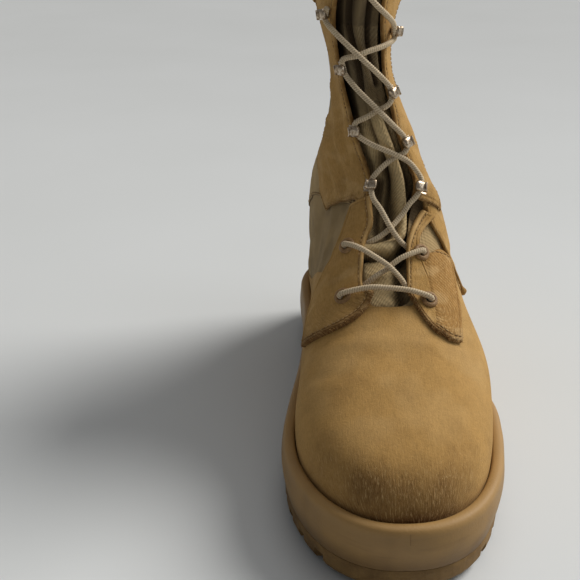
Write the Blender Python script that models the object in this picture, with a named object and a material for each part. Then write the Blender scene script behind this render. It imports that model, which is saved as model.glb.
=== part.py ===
"""Left combat boot: hollow suede and nylon upper, padded tongue, cup sole, eyelets, hooks and lace.

The toe points to -Y, the wearer's left (the boot's lateral side) is +X, and the sole stands on Z = 0.
"""
import math

import bmesh
import bpy
import numpy as np
from mathutils import Vector

MM = 0.001

# Driving dimensions
UPPER_LENGTH = 293.0 * MM
BALL_WIDTH = 98.0 * MM
HEEL_WIDTH = 70.0 * MM
SHAFT_WIDTH = 58.0 * MM
INSTEP_HEIGHT = 140.0 * MM
SHAFT_HEIGHT = 97.0 * MM
TOE_POLE_HEIGHT = 31.0 * MM
TOE_ROUND = 74.0 * MM
TOE_ROLL = 44.0 * MM
TOE_TUCK = 14.0 * MM

WALL = 2.0 * MM
GAP = 0.3 * MM
OVERLAY_GAP = 0.5 * MM
STRIP_GAP = 0.9 * MM
TONGUE_GAP = 1.4 * MM

# Sole
TOE_SPRING = 4.0 * MM
SPRING_START = 0.30
TREAD_THICKNESS = 9.0 * MM
LUG_DEPTH = 5.0 * MM
FLOOR_FOREFOOT = 18.0 * MM
FLOOR_HEEL = 25.0 * MM
RIM_TOE = 36.5 * MM
RIM_BALL = 31.0 * MM
RIM_HEEL = 38.0 * MM
RIM_WIDTH = 6.2 * MM
RIM_ROUND = 2.0 * MM
CUP_GAP = 0.5 * MM
OUTLINE_POINTS = 72
SOLE_BULGE = 0.9 * MM
SOLE_TUCK = 1.2 * MM
INSOLE_THICKNESS = 4.0 * MM
INSOLE_CLEARANCE = 3.2 * MM
GROOVE_WIDTH = 6.0 * MM
GROOVE_PITCH = 17.0 * MM
GROOVE_START = 5.0 * MM
ARCH_START = 0.50
ARCH_END = 0.68

# Overlays, tongue, metal and lace
FLAP_THICKNESS = 2.6 * MM
STAY_THICKNESS = 2.0 * MM
STAY_WIDTH = 17.0 * MM
STAY_OVERHANG = 2.5 * MM
BACKSTAY_THICKNESS = 1.9 * MM
BACKSTAY_CLEARANCE = 1.2 * MM
COLLAR_THICKNESS = 2.4 * MM
THROAT_LATERAL = 12.0 * MM
THROAT_MEDIAL = 15.0 * MM
THROAT_PULL = 3.0 * MM
TONGUE_THICKNESS = 4.0 * MM
TONGUE_WIDTH = 50.0 * MM
TONGUE_PUFF = 2.0 * MM
EYELET_RADIUS = 4.6 * MM
EYELET_HOLE = 2.5 * MM
EYELET_THICKNESS = 1.2 * MM
HOOK_LENGTH = 6.5 * MM
HOOK_WIDTH = 5.0 * MM
HOOK_METAL = 0.9 * MM
HOOK_MOUTH = 3.6 * MM
HOOK_LEAN = 0.6
LACE_DIAMETER = 3.0 * MM
LACE_SIDES = 6

SHARP_ANGLE = math.radians(40)
LATERAL = 1.0
MEDIAL = -1.0

# Sections of the boot, from the toe to the collar. Each row is one plane through the boot:
# where it meets the front line (share of UPPER_LENGTH from the toe, rise), where it meets the sole
# or back line, the half widths as shares of the table's width, how far the front and the back of
# the section stand to the lateral side, the share of the way down where it is widest, and how
# square its upper and lower halves are (2 is an ellipse).
# A rise up to 1 is a share of INSTEP_HEIGHT, and what is over 1 is a share of SHAFT_HEIGHT.
# front_run, front_rise, back_run, back_rise, lateral, medial, front_x, back_x, belly, crown, keel
FOOT_SECTIONS = (
    (0.000, 0.440, 0.000, 0.090, 0.470, 0.455, -0.035, -0.035, 0.50, 2.45, 3.2),
    (0.100, 0.452, 0.100, 0.090, 0.478, 0.458, -0.030, -0.030, 0.52, 2.45, 3.2),
    (0.200, 0.510, 0.200, 0.086, 0.500, 0.478, -0.015, -0.015, 0.58, 2.30, 3.2),
    (0.280, 0.572, 0.288, 0.086, 0.535, 0.490, 0.000, 0.000, 0.62, 2.20, 3.1),
    (0.354, 0.648, 0.380, 0.088, 0.560, 0.460, 0.010, 0.000, 0.62, 2.15, 3.0),
)
HEEL_SECTIONS = (
    (0.430, 0.785, 0.500, 0.093, 0.715, 0.575, 0.000, 0.000, 0.60, 2.15, 2.9),
    (0.484, 0.905, 0.636, 0.107, 0.635, 0.525, 0.060, 0.000, 0.58, 2.15, 2.8),
    (0.516, 1.010, 0.790, 0.125, 0.550, 0.495, 0.125, 0.000, 0.58, 2.15, 2.7),
    (0.534, 1.110, 0.950, 0.140, 0.495, 0.480, 0.105, 0.000, 0.62, 2.15, 2.5),
    (0.543, 1.200, 1.000, 0.350, 0.465, 0.460, 0.055, 0.000, 0.66, 2.15, 2.3),
)
SHAFT_SECTIONS = (
    (0.548, 1.295, 1.000, 0.610, 0.510, 0.510, 0.010, 0.000, 0.68, 2.20, 2.2),
    (0.551, 1.400, 0.986, 0.850, 0.385, 0.385, -0.030, 0.000, 0.66, 2.30, 2.1),
    (0.553, 1.525, 0.966, 1.110, 0.280, 0.300, -0.090, -0.010, 0.58, 2.40, 2.0),
    (0.554, 1.675, 0.960, 1.400, 0.260, 0.290, -0.160, -0.030, 0.50, 2.40, 2.0),
    (0.556, 1.835, 0.970, 1.700, 0.330, 0.350, -0.200, -0.060, 0.50, 2.40, 2.0),
    (0.560, 2.000, 0.990, 2.000, 0.425, 0.445, -0.180, -0.070, 0.50, 2.30, 2.0),
)

TOP_ROW = len(FOOT_SECTIONS) + len(HEEL_SECTIONS) + len(SHAFT_SECTIONS) - 1.0
THROAT_ROW = 3.95
THROAT_OPENS = 0.35
PULLED_ROWS = (6.5, 8.0, 12.0, 13.5)
STAY_ROW = 6.48
STAY_LIMIT = 0.93
BACKSTAY_ROW = 14.35
BACKSTAY_REACH = (0.27, 0.095)
COLLAR_ROW = 14.42
COLLAR_REACH = 0.60
TONGUE_ROW = 3.62
TONGUE_TAPER = 0.25
TREAD_START = 0.06
TREAD_END = 0.96

# Outline of each flap from its front edge up to the notch: row and turn of its edge at the throat,
# of the middle and of its outer edge.
LATERAL_FLAP = (
    (4.32, 0.046, 3.42, 0.120, 3.43, 0.213),
    (4.50, 0.055, 4.00, 0.140, 3.95, 0.216),
    (4.90, 0.067, 4.65, 0.155, 4.55, 0.240),
    (5.35, 0.078, 5.25, 0.165, 5.15, 0.262),
    (5.75, 0.110, 5.70, 0.160, 5.62, 0.235),
    (6.15, 0.155, 6.05, 0.175, 5.95, 0.195),
)
MEDIAL_FLAP = (
    (4.30, 0.050, 3.74, 0.170, 4.30, 0.400),
    (4.45, 0.085, 4.25, 0.190, 4.70, 0.370),
    (4.90, 0.078, 4.80, 0.180, 5.00, 0.310),
    (5.40, 0.070, 5.38, 0.150, 5.40, 0.240),
    (5.80, 0.060, 5.85, 0.130, 5.90, 0.205),
    (6.15, 0.080, 6.25, 0.135, 6.35, 0.190),
)

# Where the lace's eyelets and hooks stand: number, row on the lateral and on the medial side, and
# distance from the front line in mm on the lateral and on the medial side
EYELET_ROWS = (
    ("1", 4.16, 4.36, 19.5, 22.0),
    ("2", 5.10, 5.36, 18.5, 18.5),
)
HOOK_ROWS = (
    ("3", 6.80, 6.90, 12.0, 12.0),
    ("4", 9.10, 10.0, 8.5, 11.5),
    ("5", 11.60, 12.65, 6.5, 9.5),
    ("6", 13.75, 14.25, 14.0, 15.0),
)

# The lace's bar and crossings: the points that each strand passes, as row, distance from the front
# line in mm (lateral is positive) and height over the upper's surface in mm.
LACE_BAR = ((4.16, 19.5, 6.2), (4.22, 10.0, 5.6), (4.26, 0.0, 5.2), (4.31, -10.0, 5.6), (4.36, -22.0, 6.2))
LACE_CROSSINGS = (
    (((4.50, 6.5, 1.6), (4.68, 1.0, 3.2), (4.90, -6.0, 4.7), (5.14, -12.5, 5.4), (5.36, -18.5, 6.4)),
     ((4.55, -6.0, 1.6), (4.68, 0.5, 2.4), (4.84, 7.0, 4.4), (4.97, 13.0, 5.3), (5.10, 18.5, 6.4))),
    (((5.30, -6.0, 1.4), (5.50, 0.5, 2.4), (5.90, 6.0, 3.0), (6.27, 8.6, 4.0), (6.55, 10.3, 5.1)),
     ((5.30, 7.0, 1.4), (5.55, 1.0, 3.6), (6.00, -4.5, 4.2), (6.33, -8.4, 4.6), (6.59, -10.3, 5.1))),
    (((7.21, -10.2, 5.1), (7.70, -5.5, 4.2), (8.10, 0.0, 3.4), (8.35, 4.6, 4.2), (8.52, 6.5, 5.1)),
     ((7.05, 10.2, 5.1), (7.80, 5.5, 4.6), (8.35, 0.0, 4.6), (9.00, -6.0, 4.6), (9.57, -9.4, 5.1))),
    (((10.34, -9.6, 5.1), (10.55, -5.0, 4.2), (10.80, -1.0, 3.4), (11.00, 3.0, 4.2), (11.16, 4.4, 5.1)),
     ((9.51, 6.6, 5.1), (10.15, 3.5, 4.6), (10.95, -1.0, 4.6), (11.75, -5.0, 4.6), (12.40, -7.6, 5.1))),
    (((12.88, -7.8, 5.1), (12.98, -3.0, 4.2), (13.10, 1.5, 3.4), (13.30, 8.0, 4.2), (13.50, 12.3, 5.1)),
     ((11.88, 4.6, 5.1), (12.40, 2.0, 4.6), (13.00, -2.5, 4.6), (13.65, -8.5, 4.6), (14.03, -13.1, 5.1))),
)


def material(name, colour, roughness, metallic=0.0):
    """A plain Principled material."""
    made = bpy.data.materials.new(name)
    made.use_nodes = True
    shader = made.node_tree.nodes["Principled BSDF"]
    shader.inputs["Base Color"].default_value = (*colour, 1.0)
    shader.inputs["Roughness"].default_value = roughness
    shader.inputs["Metallic"].default_value = metallic
    return made


def add_object(name, vertices, faces, finish, closed=True):
    """A new object from vertices and faces. A closed one has its faces turned out."""
    mesh = bpy.data.meshes.new(name)
    mesh.from_pydata([tuple(v) for v in vertices], [], faces)
    shape = bmesh.new()
    shape.from_mesh(mesh)
    bmesh.ops.remove_doubles(shape, verts=shape.verts, dist=1e-6 if closed else 1e-5)
    bmesh.ops.dissolve_degenerate(shape, edges=shape.edges, dist=1e-7 if closed else 1e-6)
    if closed:
        bmesh.ops.recalc_face_normals(shape, faces=shape.faces)
    shape.to_mesh(mesh)
    shape.free()
    mesh.materials.append(finish)
    mesh.shade_smooth()
    mesh.set_sharp_from_angle(angle=SHARP_ANGLE)
    made = bpy.data.objects.new(name, mesh)
    bpy.context.collection.objects.link(made)
    return made


def section_table():
    """Every section's values in metres, one row each."""
    rows = []
    widths = ((FOOT_SECTIONS, BALL_WIDTH), (HEEL_SECTIONS, HEEL_WIDTH), (SHAFT_SECTIONS, SHAFT_WIDTH))
    for table, width in widths:
        for (front_run, front_rise, back_run, back_rise, lateral, medial,
             front_x, back_x, belly, crown, keel) in table:
            rows.append((
                run_to_y(front_run), rise_to_z(front_rise), run_to_y(back_run), rise_to_z(back_rise),
                lateral * width, medial * width, front_x * width, back_x * width, belly, crown, keel))
    return np.array(rows)


def run_to_y(run):
    return (run - 0.5) * UPPER_LENGTH


def rise_to_z(rise):
    return min(rise, 1.0) * INSTEP_HEIGHT + max(rise - 1.0, 0.0) * SHAFT_HEIGHT


SECTIONS = section_table()
SLOPES = np.gradient(SECTIONS, axis=0)


def quarter_round(distance, reach, power):
    """0 at an end, 1 from reach on, along a quarter of a superellipse."""
    left = np.clip(1.0 - distance / reach, 0.0, 1.0)
    return np.maximum(1.0 - left ** power, 0.0) ** (1.0 / power)


def section(row):
    """The section's values at any row, also between the table's rows."""
    row = np.clip(np.asarray(row, float), 0.0, TOP_ROW)
    low = np.minimum(row.astype(int), len(SECTIONS) - 2)
    share = (row - low)[..., None]
    before, after = SECTIONS[low], SECTIONS[low + 1]
    leaving, arriving = SLOPES[low], SLOPES[low + 1]
    values = ((2 * share ** 3 - 3 * share ** 2 + 1) * before + (share ** 3 - 2 * share ** 2 + share) * leaving
              + (3 * share ** 2 - 2 * share ** 3) * after + (share ** 3 - share ** 2) * arriving)
    from_toe = np.maximum(values[..., 0] + UPPER_LENGTH / 2, 0.0)
    wide = quarter_round(from_toe, TOE_ROUND, 2.25)
    over = quarter_round(from_toe, TOE_ROLL, 2.4)
    under = quarter_round(from_toe, TOE_TUCK, 2.0)
    values[..., 1] = TOE_POLE_HEIGHT + (values[..., 1] - TOE_POLE_HEIGHT) * over
    in_toe = from_toe < TOE_TUCK
    tucked = TOE_POLE_HEIGHT + (values[..., 3] - TOE_POLE_HEIGHT) * under
    values[..., 3] = np.where(in_toe, tucked, values[..., 3])
    values[..., 4] *= wide
    values[..., 5] *= wide
    return values


def surface(row, turn):
    """A point of the upper's outside. Turn is 0 on the front line, 1 on the sole or back line.

    Positive turns run down the lateral side and negative ones down the medial side; past 1 they
    go on across the back.
    """
    row, turn = np.broadcast_arrays(np.asarray(row, float), np.asarray(turn, float))
    values = section(row)
    turn = (turn + 1.0) % 2.0 - 1.0
    angle = np.abs(turn) * math.pi
    half_width = np.where(turn >= 0, values[..., 4], values[..., 5])
    cosine, sine = np.abs(np.cos(angle)), np.abs(np.sin(angle))
    square = np.where(angle <= math.pi / 2, values[..., 9], values[..., 10])
    out = sine ** (2.0 / square) * half_width
    flat = cosine ** (2.0 / square)
    belly = values[..., 8]
    down = np.where(angle <= math.pi / 2, belly * (1.0 - flat), belly + (1.0 - belly) * flat)
    centre_x = values[..., 6] + (values[..., 7] - values[..., 6]) * down
    y = values[..., 0] + (values[..., 2] - values[..., 0]) * down
    z = values[..., 1] + (values[..., 3] - values[..., 1]) * down
    return np.stack([centre_x + np.where(turn >= 0, out, -out), y, z], -1)


def surface_normal(row, turn):
    """The outward direction of the surface."""
    step = 0.02
    row, turn = np.broadcast_arrays(np.asarray(row, float), np.asarray(turn, float))
    low = np.clip(row - step, 0.05, TOP_ROW - 2 * step)
    along_row = surface(low + 2 * step, turn) - surface(low, turn)
    along_turn = surface(row, turn + step) - surface(row, turn - step)
    across = np.cross(along_turn, along_row)
    return across / np.maximum(np.linalg.norm(across, axis=-1, keepdims=True), 1e-12)


def lifted(row, turn, height):
    """A point that stands off the upper's outside by height, inwards when negative."""
    return surface(row, turn) + surface_normal(row, turn) * np.asarray(height, float)[..., None]


def turn_at(row, half_gap):
    """The turn at which the surface stands half_gap to the side of its front line."""
    values = section(row)
    half_width = np.maximum(np.where(np.asarray(half_gap) >= 0, values[..., 4], values[..., 5]), 1e-6)
    share = np.clip(np.abs(half_gap) / half_width, 0.0, 0.98)
    angle = np.arcsin(share ** (values[..., 9] / 2.0))
    return np.sign(half_gap) * angle / math.pi


def smooth_step(value):
    value = np.clip(value, 0.0, 1.0)
    return value * value * (3.0 - 2.0 * value)


def toe_share(y):
    """0 behind the ball and 1 at the toe's tip."""
    return np.clip(((SPRING_START - 0.5) * UPPER_LENGTH - y) / (SPRING_START * UPPER_LENGTH), 0.0, 1.2)


def heel_share(y):
    return smooth_step(y / (0.42 * UPPER_LENGTH))


def ground_height(y):
    return TOE_SPRING * toe_share(y) ** 1.6


def tread_top(y):
    return ground_height(y) + TREAD_THICKNESS


def floor_height(y):
    return FLOOR_FOREFOOT + (FLOOR_HEEL - FLOOR_FOREFOOT) * heel_share(y) + ground_height(y)


def rim_height(y):
    toe = (RIM_TOE - RIM_BALL) * smooth_step(toe_share(y))
    return RIM_BALL + toe + (RIM_HEEL - RIM_BALL) * heel_share(y)


def bottom_turn(row):
    """The turn where the upper ends on the cup's floor, and 1 where its section closes."""
    row = np.asarray(row, float)
    low = np.full(row.shape, 0.5)
    high = np.ones(row.shape)
    end = surface(row, high)
    closed = end[..., 2] >= floor_height(end[..., 1]) + GAP
    for _ in range(30):
        middle = (low + high) / 2
        place = surface(row, middle)
        above = place[..., 2] > floor_height(place[..., 1]) + GAP
        low = np.where(above, middle, low)
        high = np.where(above, high, middle)
    return np.where(closed, 1.0, low)


def throat_gap(row, side):
    """Distance of the open throat's edge from the front line: the laces pull the lateral one in."""
    starts, full, holds, ends = PULLED_ROWS
    pulled = smooth_step((row - starts) / (full - starts)) * smooth_step((ends - row) / (ends - holds))
    return THROAT_LATERAL - THROAT_PULL * pulled if side == LATERAL else THROAT_MEDIAL + 0.0 * row


def throat_turn(row, side):
    """The turn of the throat's edge: 0 in front of the throat."""
    row = np.asarray(row, float)
    opening = np.clip((row - THROAT_ROW) / THROAT_OPENS, 0.0, 1.0)
    gap = throat_gap(row, side) * np.sqrt(1.0 - (1.0 - opening) ** 2)
    return np.abs(turn_at(row, side * gap)) * (row > THROAT_ROW)


def upper_rows():
    """Rows of the upper's mesh, close together where the toe and the heel round."""
    toe = [0.0, 0.03, 0.09, 0.20, 0.38, 0.62, 0.95, 1.40, 1.9, 2.4, 2.9, 3.4]
    throat = [THROAT_ROW + THROAT_OPENS * share for share in (0.0, 0.1, 0.4, 1.0)]
    instep = list(np.linspace(4.75, 7.7, 7))
    heel = [7.98, 8.14, 8.32, 8.6]
    shaft = list(np.linspace(9.0, TOP_ROW, 13))
    return np.array(toe + throat + instep + heel + shaft)


def build_upper(finish):
    """One hollow shell, open at the collar, the throat and underneath."""
    rows = upper_rows()
    columns = 13
    share = np.linspace(0.0, 1.0, columns)
    share = share - 0.35 * np.sin(2 * math.pi * share) / (2 * math.pi)
    vertices, faces = [], []
    bottom = bottom_turn(rows)
    for side in (LATERAL, MEDIAL):
        throat = throat_turn(rows, side)
        turns = side * (throat[:, None] + (bottom - throat)[:, None] * share[None, :])
        start = len(vertices)
        vertices.extend(surface(rows[:, None], turns).reshape(-1, 3))
        for r in range(len(rows) - 1):
            for c in range(columns - 1):
                corner = start + r * columns + c
                ring = (corner, corner + columns, corner + columns + 1, corner + 1)
                faces.append(ring if side == MEDIAL else ring[::-1])
    made = add_object("upper", vertices, faces, finish, closed=False)
    thick = made.modifiers.new("wall", "SOLIDIFY")
    thick.thickness = WALL
    thick.offset = -1.0
    return made


def between_grids(name, outer, inner, finish):
    """A closed solid between two grids of points of the same size."""
    count, columns = outer.shape[:2]
    vertices = np.concatenate([outer.reshape(-1, 3), inner.reshape(-1, 3)])
    base = count * columns
    faces = []
    for r in range(count - 1):
        for c in range(columns - 1):
            corner = r * columns + c
            ring = (corner, corner + 1, corner + columns + 1, corner + columns)
            faces.append(ring)
            faces.append(tuple(base + v for v in ring[::-1]))
    border = [(0, c) for c in range(columns)]
    border += [(r, columns - 1) for r in range(1, count)]
    border += [(count - 1, c) for c in range(columns - 2, -1, -1)]
    border += [(r, 0) for r in range(count - 2, 0, -1)]
    rim = [r * columns + c for r, c in border]
    for first, second in zip(rim, rim[1:] + rim[:1]):
        faces.append((first, base + first, base + second, second))
    return add_object(name, vertices, faces, finish)


def build_patch(name, rows, turns, inside, outside, finish):
    """An overlay between two offsets of the upper's own surface."""
    outer = lifted(rows, turns, np.broadcast_to(outside, rows.shape))
    inner = lifted(rows, turns, np.broadcast_to(inside, rows.shape))
    return between_grids(name, outer, inner, finish)


def through_table(table, share):
    """Columns of a short table read at shares of its length, with a smooth curve between rows."""
    table = np.array(table)
    slopes = np.gradient(table, axis=0)
    place = np.clip(share, 0.0, 1.0) * (len(table) - 1)
    low = np.minimum(place.astype(int), len(table) - 2)
    part = (place - low)[..., None]
    return ((2 * part ** 3 - 3 * part ** 2 + 1) * table[low] + (part ** 3 - 2 * part ** 2 + part) * slopes[low]
            + (3 * part ** 2 - 2 * part ** 3) * table[low + 1] + (part ** 3 - part ** 2) * slopes[low + 1])


def flap_places(side, along, across):
    """Rows and turns of a flap at shares of its height and of its width."""
    values = through_table(LATERAL_FLAP if side == LATERAL else MEDIAL_FLAP, along)
    inner, middle, outer = values[..., 0:2], values[..., 2:4], values[..., 4:6]
    share = np.asarray(across)[..., None]
    bend = (middle - 0.5 * (inner + outer)) * 4.0 * share * (1.0 - share)
    places = inner + (outer - inner) * share + bend
    return places[..., 0], side * places[..., 1]


def build_flap(name, side, finish):
    """The suede facing beside the throat, which carries two eyelets.

    Its front edge swings forward from the throat to a corner on the side of the foot, and its
    top ends in the notch at the ankle.
    """
    along, across = np.meshgrid(np.linspace(0.0, 1.0, 12), np.linspace(0.0, 1.0, 8), indexing="ij")
    rows, turns = flap_places(side, along, across)
    return build_patch(name, rows, turns, OVERLAY_GAP, FLAP_THICKNESS, finish)


def build_stay(name, side, finish):
    """The suede strip beside the upper throat, which carries the hooks."""
    across = np.linspace(0.0, 1.0, 6)[None, :]
    along = np.linspace(0.0, 1.0, 18)[:, None]
    rows = STAY_ROW + (TOP_ROW - STAY_ROW) * along + 0.0 * across
    gap = throat_gap(rows, side) - STAY_OVERHANG + STAY_WIDTH * across
    values = section(rows)
    limit = STAY_LIMIT * (values[..., 4] if side == LATERAL else values[..., 5])
    turns = turn_at(rows, side * np.minimum(gap, limit))
    return build_patch(name, rows, turns, STRIP_GAP, STAY_THICKNESS, finish)


def row_over_rim(turn):
    """The row at which the surface, followed up one turn, leaves the cup's rim."""
    low = np.full(turn.shape, 6.0)
    high = np.full(turn.shape, 10.0)
    for _ in range(30):
        middle = (low + high) / 2
        place = surface(middle, turn)
        above = place[..., 2] > rim_height(place[..., 1]) + BACKSTAY_CLEARANCE
        low = np.where(above, low, middle)
        high = np.where(above, middle, high)
    return high


def build_backstay(finish):
    """The heel's counter, which narrows upwards into the strip on the back of the shaft."""
    across = np.linspace(-1.0, 1.0, 11)[None, :]
    along = np.linspace(0.0, 1.0, 12)[:, None]
    reach = BACKSTAY_REACH[0] + (BACKSTAY_REACH[1] - BACKSTAY_REACH[0]) * smooth_step(along * 1.5)
    turns = 1.0 + reach * across
    start = row_over_rim(1.0 + BACKSTAY_REACH[0] * across)
    rows = start + (BACKSTAY_ROW - start) * along
    return build_patch("backstay", rows, turns, STRIP_GAP, BACKSTAY_THICKNESS, finish)


def build_collar(finish):
    """The padded band around the top of the shaft, between the two stays."""
    across = np.linspace(-1.0, 1.0, 21)[None, :]
    along = np.linspace(0.0, 1.0, 4)[:, None]
    rows = COLLAR_ROW + (TOP_ROW - COLLAR_ROW) * along + 0.0 * across
    turns = 1.0 + COLLAR_REACH * across + 0.0 * along
    puff = COLLAR_THICKNESS * (0.55 + 0.45 * np.sin(math.pi * along)) + 0.0 * across
    return build_patch("collar", rows, turns, OVERLAY_GAP, puff, finish)


def build_tongue(finish):
    """The padded tongue, from under the vamp's edge to just over the collar."""
    across = np.linspace(-1.0, 1.0, 11)[None, :]
    along = np.linspace(0.0, 1.0, 22)[:, None]
    rows = TONGUE_ROW + (TOP_ROW - TONGUE_ROW) * along + 0.0 * across
    half_width = TONGUE_WIDTH / 2 * (1.0 - TONGUE_TAPER * along)
    turns = turn_at(rows, half_width * across)
    puff = TONGUE_PUFF * np.clip(1.0 - (across * 1.9) ** 2, 0.0, 1.0) * smooth_step((rows - THROAT_ROW) * 2)
    outside = puff - WALL - TONGUE_GAP
    inside = outside - TONGUE_THICKNESS
    return build_patch("tongue", rows, turns, inside, outside, finish)


def outline(height, count=OUTLINE_POINTS):
    """The closed outline of the upper where it meets a height that may change along the boot."""
    def end_row(low, high, meets):
        for _ in range(40):
            middle = (low + high) / 2
            low, high = (low, middle) if meets(middle) else (middle, high)
        return (low + high) / 2

    def crosses(row):
        front, back = surface(row, 0.0), surface(row, 1.0)
        return front[2] >= height(front[1]) and back[2] <= height(back[1])

    first = end_row(0.0, 1.5, crosses)
    last = end_row(7.0, 12.0, lambda row: not crosses(row))
    half = count // 2
    share = 0.5 - 0.5 * np.cos(np.linspace(0.0, math.pi, half + 1))
    rows = first + (last - first) * share
    sides = []
    for side in (LATERAL, MEDIAL):
        low, high = np.zeros(rows.shape), np.ones(rows.shape)
        for _ in range(36):
            middle = (low + high) / 2
            place = surface(rows, side * middle)
            above = place[..., 2] > height(place[..., 1])
            low = np.where(above, middle, low)
            high = np.where(above, high, middle)
        sides.append(surface(rows, side * (low + high) / 2)[:, :2])
    lateral, medial = sides
    return np.concatenate([lateral, medial[-2:0:-1]])


def widened(loop, distance):
    """The loop moved out by distance along its own normals."""
    ahead = np.roll(loop, -1, axis=0) - np.roll(loop, 1, axis=0)
    normal = np.stack([ahead[:, 1], -ahead[:, 0]], -1)
    normal /= np.linalg.norm(normal, axis=1, keepdims=True)
    return loop + normal * distance


def at_height(loop, height):
    return np.column_stack([loop, height(loop[:, 1])])


def between_loops(name, loops, finish):
    """A closed solid through a stack of loops, its first and last closed by strips across."""
    count = len(loops[0])
    vertices = np.concatenate(loops)
    faces = []
    for level in range(len(loops) - 1):
        for i in range(count):
            a, b = level * count + i, level * count + (i + 1) % count
            faces.append((a, b, b + count, a + count))
    for base in (0, (len(loops) - 1) * count):
        for i in range(count // 2):
            left, right = base + i, base + (count - i) % count
            next_left, next_right = base + i + 1, base + (count - i - 1) % count
            ring = [left, next_left, next_right, right]
            faces.append(tuple(dict.fromkeys(ring)))
    return add_object(name, vertices, faces, finish)


def build_midsole(rim_loop, finish):
    """The rubber cup: a floor, a side wall and a rounded rim that stands around the upper."""
    def above_tread(y):
        return tread_top(y) + GAP

    def below_rim(share):
        return lambda y: above_tread(y) + (rim_height(y) - above_tread(y)) * share

    profile = (
        (RIM_WIDTH - SOLE_TUCK, above_tread),
        (RIM_WIDTH - 0.4 * SOLE_TUCK, below_rim(0.18)),
        (RIM_WIDTH + SOLE_BULGE, below_rim(0.60)),
        (RIM_WIDTH + 0.3 * SOLE_BULGE, lambda y: rim_height(y) - 1.6 * RIM_ROUND),
        (RIM_WIDTH - 0.5 * RIM_ROUND, lambda y: rim_height(y) - 0.4 * RIM_ROUND),
        (RIM_WIDTH - 1.4 * RIM_ROUND, rim_height),
        (CUP_GAP + 0.5 * RIM_ROUND, lambda y: rim_height(y) - 0.2 * RIM_ROUND),
        (CUP_GAP, lambda y: rim_height(y) - 0.7 * RIM_ROUND),
        (CUP_GAP, floor_height),
    )
    loops = [at_height(widened(rim_loop, out), height) for out, height in profile]
    return between_loops("midsole", loops, finish)


def build_insole(finish):
    """The footbed on the cup's floor, inside the upper's wall."""
    def top(y):
        return floor_height(y) + GAP + INSOLE_THICKNESS

    edge = widened(outline(lambda y: floor_height(y) + GAP), -WALL - INSOLE_CLEARANCE)
    loops = [at_height(edge, lambda y: floor_height(y) + GAP), at_height(edge, top)]
    return between_loops("insole", loops, finish)


def groove_boxes():
    """Cutters for the tread: pairs of grooves from both edges towards its middle."""
    boxes = []
    for start, end in ((TREAD_START, ARCH_START), (ARCH_END, TREAD_END)):
        first = run_to_y(start)
        last = run_to_y(end)
        count = max(int(round((last - first) / GROOVE_PITCH)), 1)
        pitch = (last - first) / count
        for i in range(count + 1):
            y = first + pitch * i
            for side in (LATERAL, MEDIAL):
                boxes.append((side * GROOVE_START, side * BALL_WIDTH, y - GROOVE_WIDTH / 2, y + GROOVE_WIDTH / 2))
    return boxes


def box_mesh(name, boxes):
    """One hidden cutter object from several boxes that stand under the tread's top."""
    vertices, faces = [], []
    for x_first, x_last, y_low, y_high in boxes:
        x_low, x_high = min(x_first, x_last), max(x_first, x_last)
        start = len(vertices)
        top_low = ground_height(y_low) + LUG_DEPTH
        top_high = ground_height(y_high) + LUG_DEPTH
        for x in (x_low, x_high):
            for y, top in ((y_low, top_low), (y_high, top_high)):
                vertices.append((x, y, -LUG_DEPTH))
                vertices.append((x, y, top))
        for ring in ((0, 1, 3, 2), (4, 6, 7, 5), (0, 4, 5, 1), (2, 3, 7, 6), (0, 2, 6, 4), (1, 5, 7, 3)):
            faces.append(tuple(start + v for v in ring))
    cutter = add_object(name, vertices, faces, material("cutter", (0.5, 0.5, 0.5), 1.0))
    cutter.hide_render = True
    cutter.display_type = "WIRE"
    return cutter


def build_outsole(rim_loop, finish):
    """The tread, with lugs at the forefoot and the heel and a raised arch between them."""
    def above_ground(share):
        return lambda y: ground_height(y) + TREAD_THICKNESS * share

    reach = RIM_WIDTH - SOLE_TUCK
    profile = (
        (reach - 1.0 * MM, ground_height),
        (reach, above_ground(0.25)),
        (reach + 0.2 * MM, above_ground(0.8)),
        (reach - 0.2 * MM, tread_top),
    )
    loops = [at_height(widened(rim_loop, out), height) for out, height in profile]
    tread = between_loops("outsole", loops, finish)
    boxes = groove_boxes()
    arch = (-BALL_WIDTH, BALL_WIDTH, run_to_y(ARCH_START) + GROOVE_WIDTH, run_to_y(ARCH_END) - GROOVE_WIDTH)
    cutter = box_mesh("tread_grooves", boxes + [arch])
    cut = tread.modifiers.new("grooves", "BOOLEAN")
    cut.operation = "DIFFERENCE"
    cut.object = cutter
    return tread


def frame_at(row, turn, height, side):
    """Place and directions on the surface: away from the throat, up the boot, and out."""
    place = Vector(lifted(row, turn, height))
    out = Vector(surface_normal(row, turn))
    up = Vector(surface(row + 0.1, turn) - surface(row - 0.1, turn)).normalized()
    away = up.cross(out) * side
    away = away if away.x * side > 0 else -away
    up = out.cross(away) * (1.0 if out.cross(away).z > 0 else -1.0)
    return place, away.normalized(), up.normalized(), out.normalized()


def side_place(place, side):
    """Row and distance from the front line of one eyelet or hook."""
    _, lateral_row, medial_row, lateral_gap, medial_gap = place
    return (lateral_row, lateral_gap * MM) if side == LATERAL else (medial_row, medial_gap * MM)


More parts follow.
